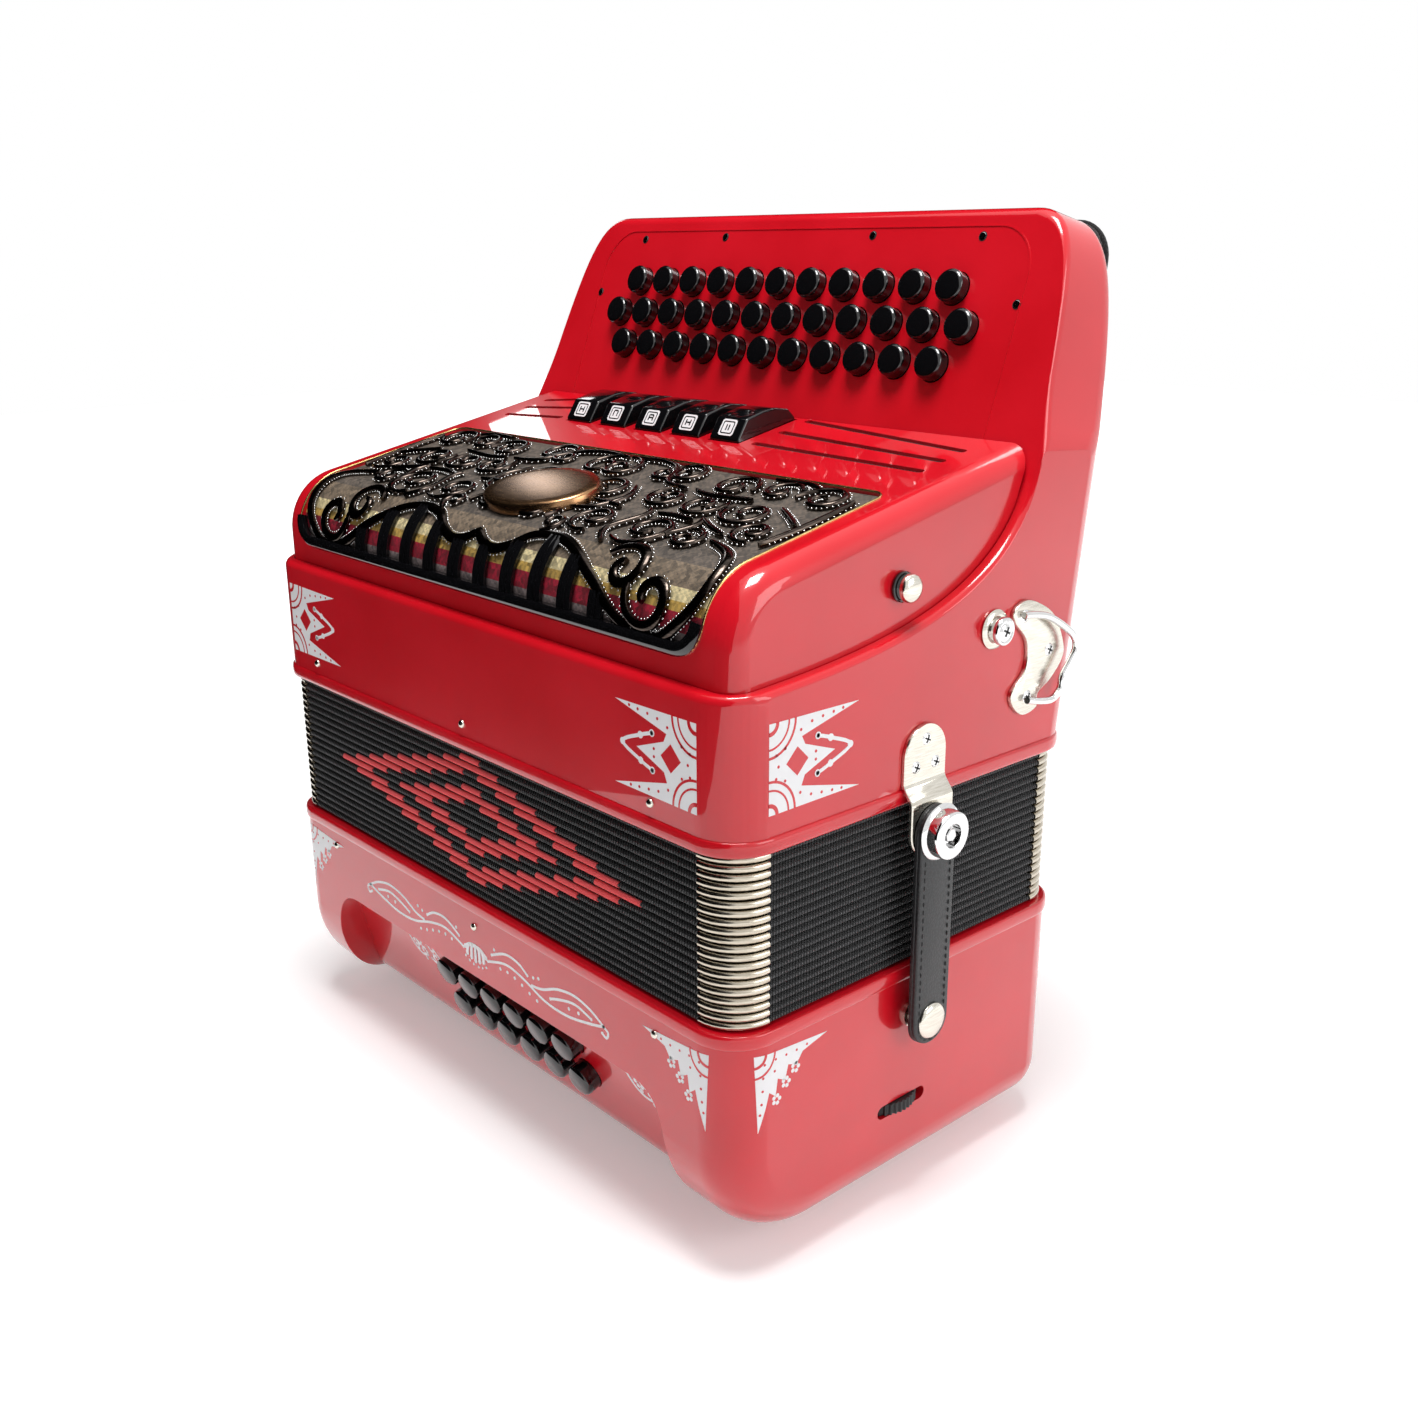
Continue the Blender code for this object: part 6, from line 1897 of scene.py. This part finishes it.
def makeStage():
    bm = bmesh.new()
    bmesh.ops.create_grid(bm, x_segments=1, y_segments=1, size=3.0)
    mesh = bpy.data.meshes.new("floor")
    bm.to_mesh(mesh)
    bm.free()
    floor = bpy.data.objects.new("floor", mesh)
    material, tree, shader = startMaterial("paleFloor", {
        "Base Color": colour(stageSet["floorColour"]), "Roughness": 0.9,
        "Emission Color": (1, 1, 1, 1)})
    seen = seenRays(tree)
    # The floor stays plain near the object and turns to white far from it
    away = addNode(tree, "VectorMath", {0: addNode(tree, "TexCoord").outputs["Object"]}, operation="LENGTH")
    fade = addNode(tree, "MapRange", {"Value": away.outputs["Value"], "From Min": 0.45, "From Max": 1.3,
                                      "To Min": 0.3, "To Max": 1.0})
    glow = addNode(tree, "Math", {0: seen.outputs["Value"], 1: fade.outputs["Result"]}, operation="MULTIPLY")
    tree.links.new(glow.outputs["Value"], shader.inputs["Emission Strength"])
    mesh.materials.append(material)
    bpy.context.scene.collection.objects.link(floor)
    world = bpy.data.worlds.new("studio")
    bpy.context.scene.world = world
    world.use_nodes = True
    tree = world.node_tree
    background = tree.nodes["Background"]
    seen = seenRays(tree)
    level = addNode(tree, "MapRange", {"Value": seen.outputs["Value"], "To Min": 0.32, "To Max": 1.0})
    background.inputs["Color"].default_value = (1, 1, 1, 1)
    tree.links.new(level.outputs["Result"], background.inputs["Strength"])
    for name, place, target, size, power in stageSet["lamps"]:
        lamp = bpy.data.lights.new(name, "AREA")
        lamp.shape = "RECTANGLE"
        lamp.size, lamp.size_y = size
        lamp.energy = power
        holder = bpy.data.objects.new(name, lamp)
        holder.location = place
        holder.rotation_mode = "QUATERNION"
        holder.rotation_quaternion = (Vector(target) - Vector(place)).to_track_quat("-Z", "Y")
        bpy.context.scene.collection.objects.link(holder)


def makeDarkCards():
    # Black cards that only reflections see, as a studio holds them up beside gloss
    material, tree, shader = startMaterial("blackCard", {"Base Color": colour("#0A0A0A"), "Roughness": 1.0,
                                                         "Specular IOR Level": 0.0})
    for name, place, size in stageSet["cards"]:
        bm = bmesh.new()
        bmesh.ops.create_grid(bm, x_segments=1, y_segments=1, size=0.5)
        bmesh.ops.scale(bm, verts=bm.verts, vec=(size[0], size[1], 1))
        turn = (Vector((0, 0, 0.2)) - Vector(place)).to_track_quat("Z", "Y").to_matrix()
        bmesh.ops.rotate(bm, verts=bm.verts, cent=(0, 0, 0), matrix=turn)
        bmesh.ops.translate(bm, verts=bm.verts, vec=place)
        mesh = bpy.data.meshes.new(name)
        bm.to_mesh(mesh)
        bm.free()
        mesh.materials.append(material)
        card = bpy.data.objects.new(name, mesh)
        card.visible_camera = card.visible_diffuse = card.visible_shadow = False
        card.visible_transmission = False
        bpy.context.scene.collection.objects.link(card)


def makeCamera():
    a, e, r = (math.radians(stageSet[key]) for key in ("azimuth", "elevation", "roll"))
    back = Vector((math.sin(a) * math.cos(e), -math.cos(a) * math.cos(e), math.sin(e)))
    right = Vector((math.cos(a), math.sin(a), 0))
    up = back.cross(right)
    rolledRight = math.cos(r) * right + math.sin(r) * up
    rolledUp = -math.sin(r) * right + math.cos(r) * up
    camera = bpy.data.cameras.new("camera")
    camera.lens, camera.sensor_width = stageSet["lens"], 36.0
    holder = bpy.data.objects.new("camera", camera)
    turn = Matrix((rolledRight, rolledUp, back)).transposed().to_4x4()
    holder.matrix_world = Matrix.Translation(stageSet["cameraPlace"]) @ turn
    bpy.context.scene.collection.objects.link(holder)
    bpy.context.scene.camera = holder


makeStage()
makeDarkCards()
makeCamera()
bpy.context.scene.view_settings.view_transform = "Standard"
print("stage made")
